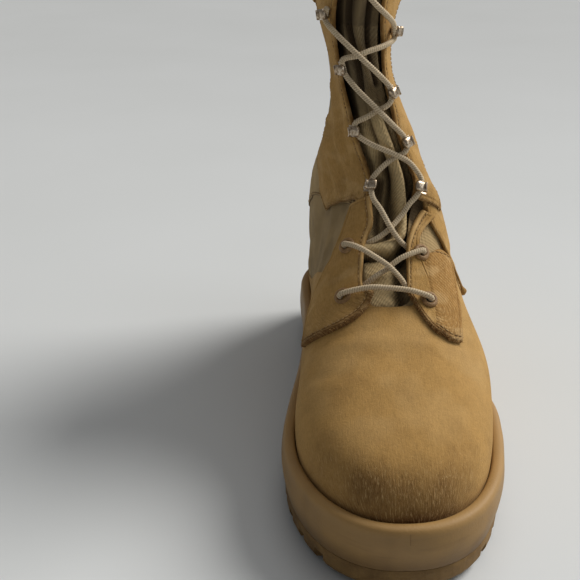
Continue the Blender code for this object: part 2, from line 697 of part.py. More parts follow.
def build_eyelet(name, row, side, gap, finish):
    """A metal ring on the flap."""
    turn = float(turn_at(row, side * gap))
    place, away, up, out = frame_at(row, turn, FLAP_THICKNESS + GAP, side)
    profile = ((EYELET_HOLE, 0.0), (EYELET_RADIUS, 0.0), (EYELET_RADIUS - 0.3 * MM, EYELET_THICKNESS * 0.6),
               (0.5 * (EYELET_RADIUS + EYELET_HOLE), EYELET_THICKNESS), (EYELET_HOLE, EYELET_THICKNESS * 0.6))
    steps = 14
    vertices, faces = [], []
    for i in range(steps):
        angle = 2 * math.pi * i / steps
        for radius, height in profile:
            vertices.append(place + (away * math.cos(angle) + up * math.sin(angle)) * radius + out * height)
    ring = len(profile)
    for i in range(steps):
        for k in range(ring):
            a, b = i * ring + k, i * ring + (k + 1) % ring
            c, d = ((i + 1) % steps) * ring + (k + 1) % ring, ((i + 1) % steps) * ring + k
            faces.append((a, b, c, d))
    return add_object(name, vertices, faces, finish)


def hook_profile():
    """Side view of a lace hook as (away from the throat, out) points."""
    mouth = HOOK_METAL + HOOK_MOUTH
    outer = ((HOOK_LENGTH, 0.0), (0.0, 0.0), (-1.4 * MM, 1.2 * MM), (-1.4 * MM, mouth - 0.6 * MM),
             (0.0, mouth + HOOK_METAL), (0.6 * HOOK_LENGTH, mouth + 0.6 * HOOK_METAL),
             (0.8 * HOOK_LENGTH, mouth + 1.6 * HOOK_METAL))
    inner = ((0.8 * HOOK_LENGTH + 0.3 * MM, mouth + 0.7 * HOOK_METAL), (0.6 * HOOK_LENGTH, mouth - 0.3 * HOOK_METAL),
             (0.3 * MM, mouth), (-0.4 * MM, mouth - 1.2 * MM), (-0.4 * MM, 1.8 * MM), (0.4 * MM, HOOK_METAL),
             (HOOK_LENGTH, HOOK_METAL))
    return outer + inner


def build_hook(name, row, side, gap, finish):
    """A metal speed hook on the stay, open away from the throat and leaning over it."""
    turn = float(turn_at(row, side * gap))
    place, away, up, out = frame_at(row, turn, STAY_THICKNESS + 2 * GAP, side)
    profile = hook_profile()
    count = len(profile)
    vertices, faces = [], []
    for offset in (-HOOK_WIDTH / 2, HOOK_WIDTH / 2):
        for along, height in profile:
            reach = along - 0.35 * HOOK_LENGTH - HOOK_LEAN * height
            vertices.append(place + away * reach + out * height + up * offset)
    for i in range(count):
        j = (i + 1) % count
        faces.append((i, j, j + count, i + count))
    for base in (0, count):
        for i in range(count // 2 - 1):
            faces.append((base + i, base + i + 1, base + count - 2 - i, base + count - 1 - i))
    return add_object(name, vertices, faces, finish)


def strand(name, route, finish):
    """One stretch of lace along a smooth curve through its route's points."""
    shares = np.linspace(0.0, 1.0, 2 * len(route) + 1)
    row, gap, height = through_table(route, shares).T
    centres = lifted(row, turn_at(row, gap * MM), height * MM)
    along = np.gradient(centres, axis=0)
    along /= np.linalg.norm(along, axis=1, keepdims=True)
    out = surface_normal(row, turn_at(row, gap * MM))
    out -= along * (out * along).sum(axis=1, keepdims=True)
    out /= np.linalg.norm(out, axis=1, keepdims=True)
    beside = np.cross(along, out)
    angles = 2 * math.pi * np.arange(LACE_SIDES) / LACE_SIDES
    rings = (centres[:, None] + LACE_DIAMETER / 2
             * (np.cos(angles)[None, :, None] * out[:, None] + np.sin(angles)[None, :, None] * beside[:, None]))
    faces = [tuple(range(LACE_SIDES)), tuple((len(shares) - 1) * LACE_SIDES + i for i in range(LACE_SIDES))]
    for i in range(len(shares) - 1):
        for k in range(LACE_SIDES):
            a, b = i * LACE_SIDES + k, i * LACE_SIDES + (k + 1) % LACE_SIDES
            faces.append((a, b, b + LACE_SIDES, a + LACE_SIDES))
    return add_object(name, rings.reshape(-1, 3), faces, finish)


def build_lace(finish):
    """The bar between the lowest eyelets, and each crossing as two strands joined."""
    strand("lace_bar", LACE_BAR, finish)
    for number, (first, second) in enumerate(LACE_CROSSINGS, start=1):
        crossing = strand("lace_cross_%d" % number, first, finish)
        over = strand("lace_over_%d" % number, second, finish)
        over.hide_render = True
        over.display_type = "WIRE"
        join = crossing.modifiers.new("join", "BOOLEAN")
        join.operation = "UNION"
        join.object = over


def centre_on_origin():
    """Move every object so that the middle of the whole boot stands over the origin."""
    pieces = [made for made in bpy.data.objects if not made.hide_render]
    places = np.array([vertex.co for made in pieces for vertex in made.data.vertices])
    middle = (places.min(axis=0) + places.max(axis=0)) / 2
    for made in bpy.data.objects:
        made.location.x = -middle[0]
        made.location.y = -middle[1]


def main():
    for old in list(bpy.data.objects):
        bpy.data.objects.remove(old, do_unlink=True)
    suede = material("suede", (0.42, 0.28, 0.14), 0.9)
    nylon = material("nylon", (0.45, 0.36, 0.22), 0.8)
    fabric = material("tongue fabric", (0.44, 0.36, 0.23), 0.85)
    rubber = material("rubber", (0.40, 0.27, 0.13), 0.6)
    tread = material("tread rubber", (0.36, 0.25, 0.12), 0.7)
    board = material("footbed", (0.20, 0.17, 0.13), 0.9)
    metal = material("nickel", (0.62, 0.58, 0.52), 0.3, 1.0)
    cord = material("lace cord", (0.55, 0.47, 0.34), 0.8)

    rim_loop = outline(rim_height)
    build_outsole(rim_loop, tread)
    build_midsole(rim_loop, rubber)
    build_insole(board)
    build_upper(nylon)
    build_tongue(fabric)
    for side, word in ((LATERAL, "lateral"), (MEDIAL, "medial")):
        build_flap("flap_" + word, side, suede)
        build_stay("stay_" + word, side, suede)
        for place in EYELET_ROWS:
            row, gap = side_place(place, side)
            build_eyelet("eyelet_%s_%s" % (word, place[0]), row, side, gap, metal)
        for place in HOOK_ROWS:
            row, gap = side_place(place, side)
            build_hook("hook_%s_%s" % (word, place[0]), row, side, gap, metal)
    build_backstay(suede)
    build_collar(suede)
    build_lace(cord)
    centre_on_origin()


main()
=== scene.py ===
"""Looks of the left combat boot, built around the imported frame.

The boot's surface has its own coordinates. A row is one plane across the boot, from 0 at the toe's
tip to 15 at the collar. A turn goes round the row: 0 on the front line, 1 on the sole or back line,
positive on the lateral side. Heights off the surface and all other lengths here are in millimetres.
"""
import math

import bpy
import numpy as np
from mathutils import Matrix, Vector


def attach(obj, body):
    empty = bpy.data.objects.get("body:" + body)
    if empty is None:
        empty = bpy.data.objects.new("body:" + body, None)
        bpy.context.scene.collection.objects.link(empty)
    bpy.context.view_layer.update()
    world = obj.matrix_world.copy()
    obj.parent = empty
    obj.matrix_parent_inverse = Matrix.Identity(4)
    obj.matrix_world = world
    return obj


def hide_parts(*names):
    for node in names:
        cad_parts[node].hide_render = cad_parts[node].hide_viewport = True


MM = 0.001
ORIGIN = np.array([2.979, -1.108, 0.0])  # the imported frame's origin, in the sections' coordinates
SIDES = {"lateral": 1, "medial": -1}

UPPER_LENGTH = 293.0
BALL_WIDTH = 98.0
HEEL_WIDTH = 70.0
SHAFT_WIDTH = 58.0
INSTEP_HEIGHT = 140.0
SHAFT_HEIGHT = 97.0
TOE_POLE_HEIGHT = 31.0
TOE_ROUND = 74.0
TOE_ROLL = 44.0
TOE_TUCK = 14.0
WALL = 2.0
TOP_ROW = 15.0

RIM_WIDTH = 6.2
RIM_ROUND = 2.0
RIM_HEIGHT = 31.0
RIM_TOE_LIFT = 5.5
HEEL_LIFT = 7.0
CUP_GAP = 0.5
CUP_FLOOR = 18.0
SOLE_BULGE = 0.9
SOLE_TUCK = 1.2
TREAD_THICKNESS = 9.0
TOE_SPRING = 4.0

THROAT_ROW = 3.95
THROAT_OPENS = 0.35
THROAT_LATERAL = 12.0
THROAT_MEDIAL = 15.0
THROAT_PULL = 3.0
PULLED_ROWS = (6.5, 8.0, 12.0, 13.5)

TONGUE_START = 3.62
TONGUE_HALF_WIDTH = 25.0
TONGUE_DEPTH = 2.6
ROLLED_FROM = 3.0  # a fold that is higher stands up as a roll
STAY_START = 6.48
STAY_WIDTH = 17.0
STAY_OVERLAP = 2.5
BACKSTAY_TOP = 14.35
COLLAR_START = 14.42
COLLAR_REACH = 0.60

STITCH_PITCH = 2.4
STITCH_LENGTH = 1.9
STITCH_RADIUS = 0.34
FIBRE_PITCH = 0.32
LACE_RADIUS = 1.5
LACE_PITCH = 0.34
BRAID_PITCH = 1.25
HOOK_LEAN = 0.6
HOOK_HALF_WIDTH = 2.7
HOOK_HALF_SHEET = 0.42

SUN_FROM = (0.95, 0.42, 0.95)
SUN_POWER = 2.8
SUN_SPREAD = 30.0
WORLD_LIGHT = 0.18
WORLD_COLOUR = (0.97, 0.98, 1.0, 1.0)
FRAME_PIXELS = 580.0
FOCAL_PIXELS = 966.0
SENSOR = 36.0
CAMERA_YAW = 2.85
CAMERA_PITCH = 24.22
CAMERA_ROLL = -0.28
CAMERA_PLACE = (-71.8, -481.4, 297.6)

# Lengths of one unit of the metric UV map and of the object's own coordinates
UV_UNIT = 100.0
OBJECT_UNIT = 1000.0
WAVE_LENGTH = 0.314  # of the wave texture at scale 1

# A panel's borders
LOWER, UPPER, INNER, OUTER = range(4)

# The upper's sections: front_run, front_rise, back_run, back_rise, lateral, medial, front_x, back_x, belly,
# crown, keel. Runs are shares of its length, and the next four after the rises of the width there.
FOOT_SECTIONS = (
    (0.000, 0.440, 0.000, 0.090, 0.470, 0.455, -0.035, -0.035, 0.50, 2.45, 3.2),
    (0.100, 0.452, 0.100, 0.090, 0.478, 0.458, -0.030, -0.030, 0.52, 2.45, 3.2),
    (0.200, 0.510, 0.200, 0.086, 0.500, 0.478, -0.015, -0.015, 0.58, 2.30, 3.2),
    (0.280, 0.572, 0.288, 0.086, 0.535, 0.490, 0.000, 0.000, 0.62, 2.20, 3.1),
    (0.354, 0.648, 0.380, 0.088, 0.560, 0.460, 0.010, 0.000, 0.62, 2.15, 3.0),
)
HEEL_SECTIONS = (
    (0.430, 0.785, 0.500, 0.093, 0.715, 0.575, 0.000, 0.000, 0.60, 2.15, 2.9),
    (0.484, 0.905, 0.636, 0.107, 0.635, 0.525, 0.060, 0.000, 0.58, 2.15, 2.8),
    (0.516, 1.010, 0.790, 0.125, 0.550, 0.495, 0.125, 0.000, 0.58, 2.15, 2.7),
    (0.534, 1.110, 0.950, 0.140, 0.495, 0.480, 0.105, 0.000, 0.62, 2.15, 2.5),
    (0.543, 1.200, 1.000, 0.350, 0.465, 0.460, 0.055, 0.000, 0.66, 2.15, 2.3),
)
SHAFT_SECTIONS = (
    (0.548, 1.295, 1.000, 0.610, 0.510, 0.510, 0.010, 0.000, 0.68, 2.20, 2.2),
    (0.551, 1.400, 0.986, 0.850, 0.385, 0.385, -0.030, 0.000, 0.66, 2.30, 2.1),
    (0.553, 1.525, 0.966, 1.110, 0.280, 0.300, -0.090, -0.010, 0.58, 2.40, 2.0),
    (0.554, 1.675, 0.960, 1.400, 0.260, 0.290, -0.160, -0.030, 0.50, 2.40, 2.0),
    (0.556, 1.835, 0.970, 1.700, 0.330, 0.350, -0.200, -0.060, 0.50, 2.40, 2.0),
    (0.560, 2.000, 0.990, 2.000, 0.425, 0.445, -0.180, -0.070, 0.50, 2.30, 2.0),
)

# Panels from one end to the other: row and turn of the first edge, of the middle, of the second edge
LATERAL_FLAP = (
    (4.32, 0.046, 3.52, 0.105, 3.46, 0.150),
    (4.50, 0.055, 4.00, 0.105, 3.95, 0.142),
    (4.90, 0.064, 4.65, 0.105, 4.55, 0.135),
    (5.35, 0.070, 5.28, 0.088, 5.22, 0.110),
    (5.75, 0.088, 5.70, 0.105, 5.66, 0.124),
    (6.30, 0.130, 6.28, 0.158, 6.25, 0.180),
)
LATERAL_PATCH = (
    (3.55, 0.112, 3.34, 0.165, 3.43, 0.216),
    (4.05, 0.108, 4.00, 0.165, 3.95, 0.220),
    (4.50, 0.108, 4.55, 0.175, 4.55, 0.245),
    (4.86, 0.118, 4.98, 0.190, 5.05, 0.265),
    (5.10, 0.134, 5.26, 0.195, 5.32, 0.262),
    (5.24, 0.160, 5.44, 0.196, 5.48, 0.240),
)
MEDIAL_FLAP = (
    (4.30, 0.050, 3.74, 0.170, 4.30, 0.400),
    (4.45, 0.085, 4.25, 0.190, 4.70, 0.370),
    (4.90, 0.078, 4.80, 0.180, 5.00, 0.310),
    (5.40, 0.070, 5.38, 0.150, 5.40, 0.240),
    (5.80, 0.060, 5.85, 0.130, 5.90, 0.205),
    (6.62, 0.100, 6.68, 0.145, 6.70, 0.192),
)
LATERAL_QUARTER = (
    (6.85, 0.125, 8.20, 0.200, 9.80, 0.300),
    (6.20, 0.150, 7.80, 0.280, 9.50, 0.400),
    (5.95, 0.172, 7.50, 0.320, 9.30, 0.480),
    (5.75, 0.218, 7.20, 0.380, 9.00, 0.550),
    (5.45, 0.272, 6.90, 0.430, 8.75, 0.610),
    (5.10, 0.330, 6.50, 0.480, 8.50, 0.660),
)
MEDIAL_QUARTER = (
    (6.60, 0.185, 9.80, 0.250, 14.50, 0.300),
    (6.98, 0.223, 10.00, 0.300, 14.50, 0.360),
    (7.80, 0.300, 10.60, 0.370, 14.50, 0.440),
    (8.85, 0.380, 11.20, 0.460, 14.50, 0.530),
    (9.30, 0.470, 11.50, 0.560, 14.50, 0.640),
    (9.50, 0.620, 11.60, 0.700, 14.50, 0.760),
)

# The vamp's upper edge, the same on both sides: row and turn
VAMP_EDGE = (
    (3.97, 0), (3.975, 0.05), (4.3, 0.1), (4.8, 0.19), (5.3, 0.28), (6, 0.39), (7, 0.52), (8, 0.62),
    (8.9, 0.72),
)

# Row and turn of the lateral side's seam, down to its knot
SEAM = (
    (6.45, 0.15), (6.2, 0.156), (5.95, 0.172), (5.75, 0.218), (5.45, 0.272), (5.3, 0.335), (5.22, 0.368),
)

# Folds and dents of the upper: row, turn, direction of its length in degrees from the row's own
# line, half length, half width, height (negative for a trough)
CREASES = (
    (2.1, 0, 0, 60, 9, 0.7), (2.75, 0.02, 4, 46, 7, -0.45), (3.15, -0.06, -6, 30, 5, 0.3),
    (3.3, 0.16, 12, 20, 3.5, -0.7), (3.55, -0.22, -14, 22, 4, -0.7), (2.6, 0.24, 35, 18, 4, -0.5),
    (2.7, -0.26, -35, 18, 4, -0.5), (1.6, 0.2, 60, 16, 6, 0.4), (6.9, -0.33, 75, 26, 5, 1.6),
    (7.5, -0.28, 80, 24, 4, -1.4), (8.2, -0.42, 80, 30, 5, 1.8), (9.3, -0.37, 84, 30, 3.6, -2),
    (10.7, -0.42, 86, 30, 3.6, -1.8), (10.6, -0.34, 88, 30, 5, 1.6), (12, -0.36, 88, 26, 5, 1.4),
    (12.8, -0.44, 84, 24, 4.5, -1.5), (8.6, -0.55, 8, 26, 4.5, -1.3), (7.9, -0.52, 2, 24, 5, 1.2),
    (9.6, -0.66, 5, 24, 4, -1), (8.4, 0.4, -10, 28, 4.5, -1.5), (7.7, 0.42, -6, 26, 5.5, 1.3),
    (9.3, 0.52, -4, 26, 4.5, 1.2), (10.1, 0.46, -8, 28, 4.5, -1.5), (11, 0.55, 70, 26, 5, 1.4),
    (11.6, 0.36, 82, 26, 4.5, -1.5), (12.6, 0.42, 86, 26, 5.5, 1.6), (13.2, 0.58, 78, 22, 5, -1.3),
    (11.4, 0.8, 5, 26, 6, -1.4), (12.5, 0.86, -4, 24, 6, 1.2), (10.6, 0.97, 0, 24, 5, -1),
    (6.1, 0.34, 40, 20, 3.5, -1), (5.75, -0.3, -50, 20, 4, -0.9), (8.6, -0.215, 82, 30, 3, -1.7),
    (8.6, -0.255, 82, 30, 3.6, 1.3), (10.3, -0.2, 88, 24, 2.6, -1.4), (10.3, -0.24, 88, 24, 3.2, 1.1),
    (6.15, 0.112, 70, 10, 5, -3.2),
)

# The tongue's folds: row and distance from the front line of points along each, half width, height
TONGUE_FOLDS = (
    (((8, -6.5), (7.1, -4.6), (6.4, -2.2), (5.85, 0.6), (5.55, 1.4)), 4.6, -6),
    (((11.6, -3.5), (10.66, -2.6), (9.68, -1), (8.51, -0.7), (7.43, 0), (6.64, 2.7), (6.05, 6.6),
      (5.62, 8.3), (5.34, 6.6), (5.18, 2), (5.12, -4.8), (5.17, -10.5)), 3.7, 4.6),
    (((7.2, -10.5), (6.5, -9.5), (5.92, -7.5), (5.55, -5.5)), 3.2, -3.4),
    (((8.4, 8), (7.2, 9), (6.4, 11.5), (5.9, 14), (5.3, 14), (4.86, 9.6)), 3.4, -4.4),
    (((5, 12), (4.95, 4), (4.98, -4), (5, -12)), 1.6, -2.2),
    (((4.02, 8.5), (4.4, 8), (4.8, 8.6), (5.15, 10.5)), 4.6, -5.8),
    (((14.9, -1.5), (13.8, -2.5), (12.9, -1), (12, -0.8)), 2.6, 1.8),
    (((14.9, 4.5), (13.6, 4), (12.7, 3.2), (12, 3.2)), 1.8, -3.2),
    (((14.9, -7.5), (13.8, -8), (12.8, -6.5), (11.6, -8.5)), 2.2, -3.2),
    (((14.9, 9.5), (13.9, 9.5), (12.9, 7.5), (11.6, 6.5)), 2.2, 1.6),
    (((4.7, -14), (4.62, -5), (4.58, 4), (4.6, 12)), 3, 0.9),
)

# Row and distance from the front line
EYELETS = {"lateral_1": (4.16, 19.5), "medial_1": (4.36, -22.0), "lateral_2": (5.10, 18.5),
           "medial_2": (5.36, -18.5)}
HOOKS = {"lateral_3": (6.80, 12.0), "medial_3": (6.90, -12.0), "lateral_4": (9.10, 8.5),
         "medial_4": (10.0, -11.5), "lateral_5": (11.60, 6.5), "medial_5": (12.65, -9.5),
         "lateral_6": (13.75, 14.0), "medial_6": (14.25, -15.0)}

# The lace from the upper medial hook down to the lowest eyelets and up again: row, distance from the
# front line, height
LACE_ROUTE = (
    (14.44, -13.4, 5), (14.25, -13.6, 5.1), (14.03, -13.1, 5.1), (13.65, -8.5, 5), (13, -2.5, 5.3),
    (12.4, 2, 5), (11.88, 4.7, 5.1), (11.6, 5.1, 5.1), (11.26, 4.7, 5.1), (11.02, 3, 4.4), (10.8, -1, 2.6),
    (10.55, -5, 3.6), (10.32, -9.4, 5.1), (10, -10, 5.1), (9.64, -9.5, 5.1), (9.05, -6, 4.8), (8.35, 0, 5.2),
    (7.8, 5.5, 4.8), (7.12, 10, 5.1), (6.8, 10.5, 5.1), (6.52, 10.2, 5.1), (6.24, 8.4, 3.9), (5.9, 6, 1.9),
    (5.5, 0.5, 1.4), (5.3, -6, 1), (5.32, -12, -1.6), (5.35, -18, -1.2), (5.36, -19.2, 2), (5.36, -18.4, 4.6),
    (5.14, -12.5, 5.2), (4.9, -6, 4.8), (4.68, 1, 4.3), (4.5, 6.5, 1.8), (4.32, 11.5, -1.4),
    (4.18, 18.8, -1.2), (4.16, 20.4, 2.2), (4.16, 18.8, 4.9), (4.22, 10, 5.2), (4.26, 0, 5), (4.31, -10, 5.2),
    (4.36, -21.2, 4.9), (4.36, -23, 2.2), (4.37, -21, -1.4), (4.46, -13, -1.6), (4.55, -6, 1),
    (4.68, 0.5, 1.1), (4.84, 7, 3.6), (4.97, 13, 4.9), (5.1, 18, 4.8), (5.1, 19.4, 2), (5.12, 17.6, -1.4),
    (5.22, 12, -1.6), (5.3, 7, 1.2), (5.52, 1.6, 4.4), (6, -4.5, 4.7), (6.33, -8.4, 4.7), (6.62, -10.3, 5.1),
    (6.9, -10.5, 5.1), (7.18, -10.2, 5.1), (7.7, -5.5, 3.9), (8.1, 0, 2.2), (8.35, 4.6, 3.8),
    (8.72, 6.8, 5.1), (9.1, 7.1, 5.1), (9.48, 6.7, 5.1), (10.15, 3.5, 4.9), (10.95, -1, 5.4),
    (11.75, -5, 4.9), (12.36, -7.7, 5.1), (12.65, -8.1, 5.1), (12.92, -7.6, 5.1), (12.99, -3, 4.2),
    (13.1, 1.5, 2.5), (13.28, 8, 3.8), (13.5, 12.2, 5.1), (13.75, 12.6, 5.1), (13.98, 12.4, 5),
    (14.2, 10, 4.7), (14.5, 5.8, 3.8), (14.82, 1.6, 2.4),
)

# Its end over the tongue's top edge and down inside: row, distance from the front line, height, rise
LACE_TAIL = (
    (15, -0.8, 0.9, 0.6), (15, -1.6, -3.2, 1.9), (15, -1.9, -7.4, -0.6), (14.6, -2.1, -8, 0),
    (14.1, -2.2, -8, 0), (13.5, -2, -8, 0),
)

# Turned and bent metal: distance from the middle, height over the surface
EYELET_PROFILE = (
    (2.2, -1.4), (2.3, 0.35), (2.6, 0.8), (3.1, 1), (3.7, 0.9), (4.2, 0.55), (4.55, 0.1), (4.6, -0.3),
)
HOLE_PROFILE = ((2.25, -0.45),)
RIVET_PROFILE = (
    (0.01, 1.5), (0.8, 1.4), (1.5, 1.1), (1.9, 0.8),
)
HOOK_STRIP = (
    (4.2, 0.45), (2, 0.45), (0, 0.45), (-1.9, 0.7), (-2.9, 1.8), (-3.1, 3.2), (-2.7, 4.6), (-1.4, 5.4),
    (0.4, 5.5), (1.8, 5.4), (2.8, 5.9), (3.4, 6.7),
)


def rgb(red, green, blue):
    """A colour that is given as it looks on screen, 0 to 255."""
    return tuple((value / 255.0) ** 2.2 for value in (red, green, blue)) + (1.0,)


SUEDE = rgb(168, 131, 77)
# Also the colour of painted shade on the suede
SUEDE_DARK = rgb(88, 58, 30)
SUEDE_LIGHT = rgb(208, 174, 122)
PATCH = rgb(156, 117, 66)
NYLON = rgb(188, 160, 114)
# Also the colour of painted shade on the cloth
NYLON_DARK = rgb(62, 48, 29)
TWILL = rgb(192, 168, 124)
# Also the colour of painted shade on the tongue
TWILL_DARK = rgb(46, 33, 19)
CORD = rgb(222, 204, 172)
CORD_DARK = rgb(132, 106, 76)
RUBBER = rgb(152, 119, 72)
# Also the colour of painted shade on the cup
RUBBER_DARK = rgb(80, 58, 34)
# The outsole's rubber painted as it looks in shade, darker than the same rubber of the cup
TREAD_IN_SHADE = rgb(136, 107, 66)
TREAD_IN_SHADE_DARK = rgb(98, 74, 45)
THREAD = rgb(198, 164, 112)
METAL = rgb(196, 180, 158)
METAL_STAIN = rgb(120, 96, 70)
PAINT = rgb(158, 124, 84)
PAINT_DARK = rgb(112, 84, 54)
# Painted shade in the eyelets' holes
HOLE_SHADE = rgb(40, 30, 20)
HOLE_SHADE_DARK = rgb(24, 18, 12)
FOOTBED = rgb(96, 82, 62)
FOOTBED_DARK = rgb(62, 52, 40)
FLOOR = rgb(208, 211, 211)
FLOOR_LIGHT = rgb(216, 219, 220)


def step(value):
    """0 up to 0, 1 from 1 on, smooth between."""
    value = np.clip(value, 0.0, 1.0)
    return value * value * (3.0 - 2.0 * value)


def bell(value, width):
    """1 at 0 and close to 0 from two widths on, on both sides."""
    return np.exp(-(value / width) ** 2)


def bisect(low, high, met, rounds):
    """Halve the way between two values to where a test turns true."""
    for _ in range(rounds):
        middle = (low + high) / 2
        true = met(middle)
        low, high = np.where(true, low, middle), np.where(true, middle, high)
    return low, high


def rise(share):
    """A height from its share of the instep's, and of the shaft's above 1."""
    return min(share, 1.0) * INSTEP_HEIGHT + max(share - 1.0, 0.0) * SHAFT_HEIGHT


def section_table():
    """The sections in millimetres."""
    rows = []
    parts = ((FOOT_SECTIONS, BALL_WIDTH), (HEEL_SECTIONS, HEEL_WIDTH), (SHAFT_SECTIONS, SHAFT_WIDTH))
    for table, width in parts:
        for front_run, front_rise, back_run, back_rise, *across in table:
            rows.append([(front_run - 0.5) * UPPER_LENGTH, rise(front_rise), (back_run - 0.5) * UPPER_LENGTH,
                         rise(back_rise), *(share * width for share in across[:4]), *across[4:]])
    return np.array(rows)


SECTIONS = section_table()


def hermite(table, place):
    """Rows of a table read between its rows, on a smooth curve."""
    place = np.clip(place, 0.0, len(table) - 1.0)
    low = np.minimum(np.asarray(place).astype(int), len(table) - 2)
    part = (place - low)[..., None]
    slopes = np.gradient(table, axis=0)
    return ((2 * part ** 3 - 3 * part ** 2 + 1) * table[low]
            + (part ** 3 - 2 * part ** 2 + part) * slopes[low]
            + (3 * part ** 2 - 2 * part ** 3) * table[low + 1]
            + (part ** 3 - part ** 2) * slopes[low + 1])


def quarter_round(distance, reach, power):
    """From 0 at no distance to 1 at the reach, along a rounded corner."""
    left = np.clip(1.0 - distance / reach, 0.0, 1.0)
    return np.maximum(1.0 - left ** power, 0.0) ** (1.0 / power)


def section(row):
    """A row's section, with the toe rounded off."""
    values = hermite(SECTIONS, np.asarray(row, float))
    from_toe = np.maximum(values[..., 0] + UPPER_LENGTH / 2, 0.0)
    over, under = values[..., 1] - TOE_POLE_HEIGHT, values[..., 3] - TOE_POLE_HEIGHT
    tucked = TOE_POLE_HEIGHT + under * quarter_round(from_toe, TOE_TUCK, 2.0)
    values[..., 1] = TOE_POLE_HEIGHT + over * quarter_round(from_toe, TOE_ROLL, 2.4)
    values[..., 3] = np.where(from_toe < TOE_TUCK, tucked, values[..., 3])
    values[..., 4:6] *= quarter_round(from_toe, TOE_ROUND, 2.25)[..., None]
    return values


def surface(row, turn):
    """A point of the upper's outside."""
    row, turn = np.broadcast_arrays(np.asarray(row, float), np.asarray(turn, float))
    values = np.moveaxis(section(row), -1, 0)
    front_y, front_z, back_y, back_z, lateral, medial, front_x, back_x, belly, crown, keel = values
    turn = (turn + 1.0) % 2.0 - 1.0
    angle = np.abs(turn) * math.pi
    on_top = angle <= math.pi / 2
    power = 2.0 / np.where(on_top, crown, keel)
    out = np.abs(np.sin(angle)) ** power * np.where(turn >= 0, lateral, -medial)
    flat = np.abs(np.cos(angle)) ** power
    down = np.where(on_top, belly * (1.0 - flat), belly + (1.0 - belly) * flat)
    return np.stack([front_x + (back_x - front_x) * down + out, front_y + (back_y - front_y) * down,
                     front_z + (back_z - front_z) * down], -1)


def unit(vectors):
    return vectors / np.maximum(np.linalg.norm(vectors, axis=-1, keepdims=True), 1e-9)


def normal_at(row, turn):
    near = 0.02
    low = np.clip(row - near, 0.05, TOP_ROW - 2 * near)
    along_row = surface(low + 2 * near, turn) - surface(low, turn)
    along_turn = surface(row, turn + near) - surface(row, turn - near)
    return unit(np.cross(along_turn, along_row))


def turn_at(row, gap):
    """The turn at which the surface stands a distance to the side of its front line."""
    values = section(row)
    half_width = np.maximum(np.where(np.asarray(gap) >= 0, values[..., 4], values[..., 5]), 1e-6)
    share = np.clip(np.abs(gap) / half_width, 0.0, 0.98)
    return np.sign(gap) * np.arcsin(share ** (values[..., 9] / 2.0)) / math.pi


def toe_share(y):
    return np.clip((-0.2 * UPPER_LENGTH - y) / (0.3 * UPPER_LENGTH), 0.0, 1.2)


def heel_share(y):
    return step(y / (0.42 * UPPER_LENGTH))


def tread_top(y):
    return TOE_SPRING * toe_share(y) ** 1.6 + TREAD_THICKNESS


def floor_height(y):
    return CUP_FLOOR + HEEL_LIFT * heel_share(y) + TOE_SPRING * toe_share(y) ** 1.6


def rim_height(y):
    return RIM_HEIGHT + RIM_TOE_LIFT * step(toe_share(y)) + HEEL_LIFT * heel_share(y)


def relief(points):
    """The folds' height at points of the plain surface."""
    height = np.zeros(points.shape[:-1])
    for row, turn, degrees, half_length, half_width, rise_by in CREASES:
        centre, out = surface(row, turn), normal_at(row, turn)
        across = unit(surface(row, turn + 0.01) - surface(row, turn - 0.01))
        up = np.cross(out, across)
        angle = math.radians(degrees)
        along = across * math.cos(angle) + up * math.sin(angle)
        offset = points - centre
        a, b, depth = offset @ along, offset @ np.cross(out, along), offset @ out
        b = b - 0.004 * a * a
        height += rise_by * np.exp(-(a / half_length) ** 2 - (b / half_width) ** 2 - (depth / 16.0) ** 2)
    over_rim = points[..., 2] - rim_height(points[..., 1])
    return height * step((over_rim - 2.0) / 10.0)


def raised(row, turn, *heights):
    """The plain surface, and a sheet at each height over the folded surface."""
    base, normals = surface(row, turn), normal_at(row, turn)
    folds = relief(base)
    return [base] + [base + normals * np.asarray(folds + height)[..., None] for height in heights]


def at_gap(row, gap, height):
    """Points by their distance from the front line and their height."""
    return raised(row, turn_at(row, gap), height)[1]


def arc(points, axis):
    """Distances along a grid of points from its first line."""
    moves = np.linalg.norm(np.diff(points, axis=axis), axis=-1)
    start = np.zeros_like(np.take(moves, [0], axis=axis))
    return np.concatenate([start, np.cumsum(moves, axis=axis)], axis=axis)


def smooth_line(points, spacing):
    """A route resampled on a smooth curve at an even spacing, and the distances along it."""
    points = np.asarray(points, float)
    fine = hermite(points, np.linspace(0, len(points) - 1, 40 * len(points)))
    length = arc(fine, 0)
    places = np.linspace(0.0, length[-1], max(int(length[-1] / spacing), 2))
    return np.stack([np.interp(places, length, fine[:, k]) for k in range(fine.shape[1])], -1), places


def tones(shape, dark=0.0, light=0.0, rough=0.0):
    """The painted shares of a piece, as its three colour channels: dark (dirt and painted shade), light (wear
    and painted light) and rough.
    """
    return np.stack([np.broadcast_to(share, shape) for share in (dark, light, rough)], -1)


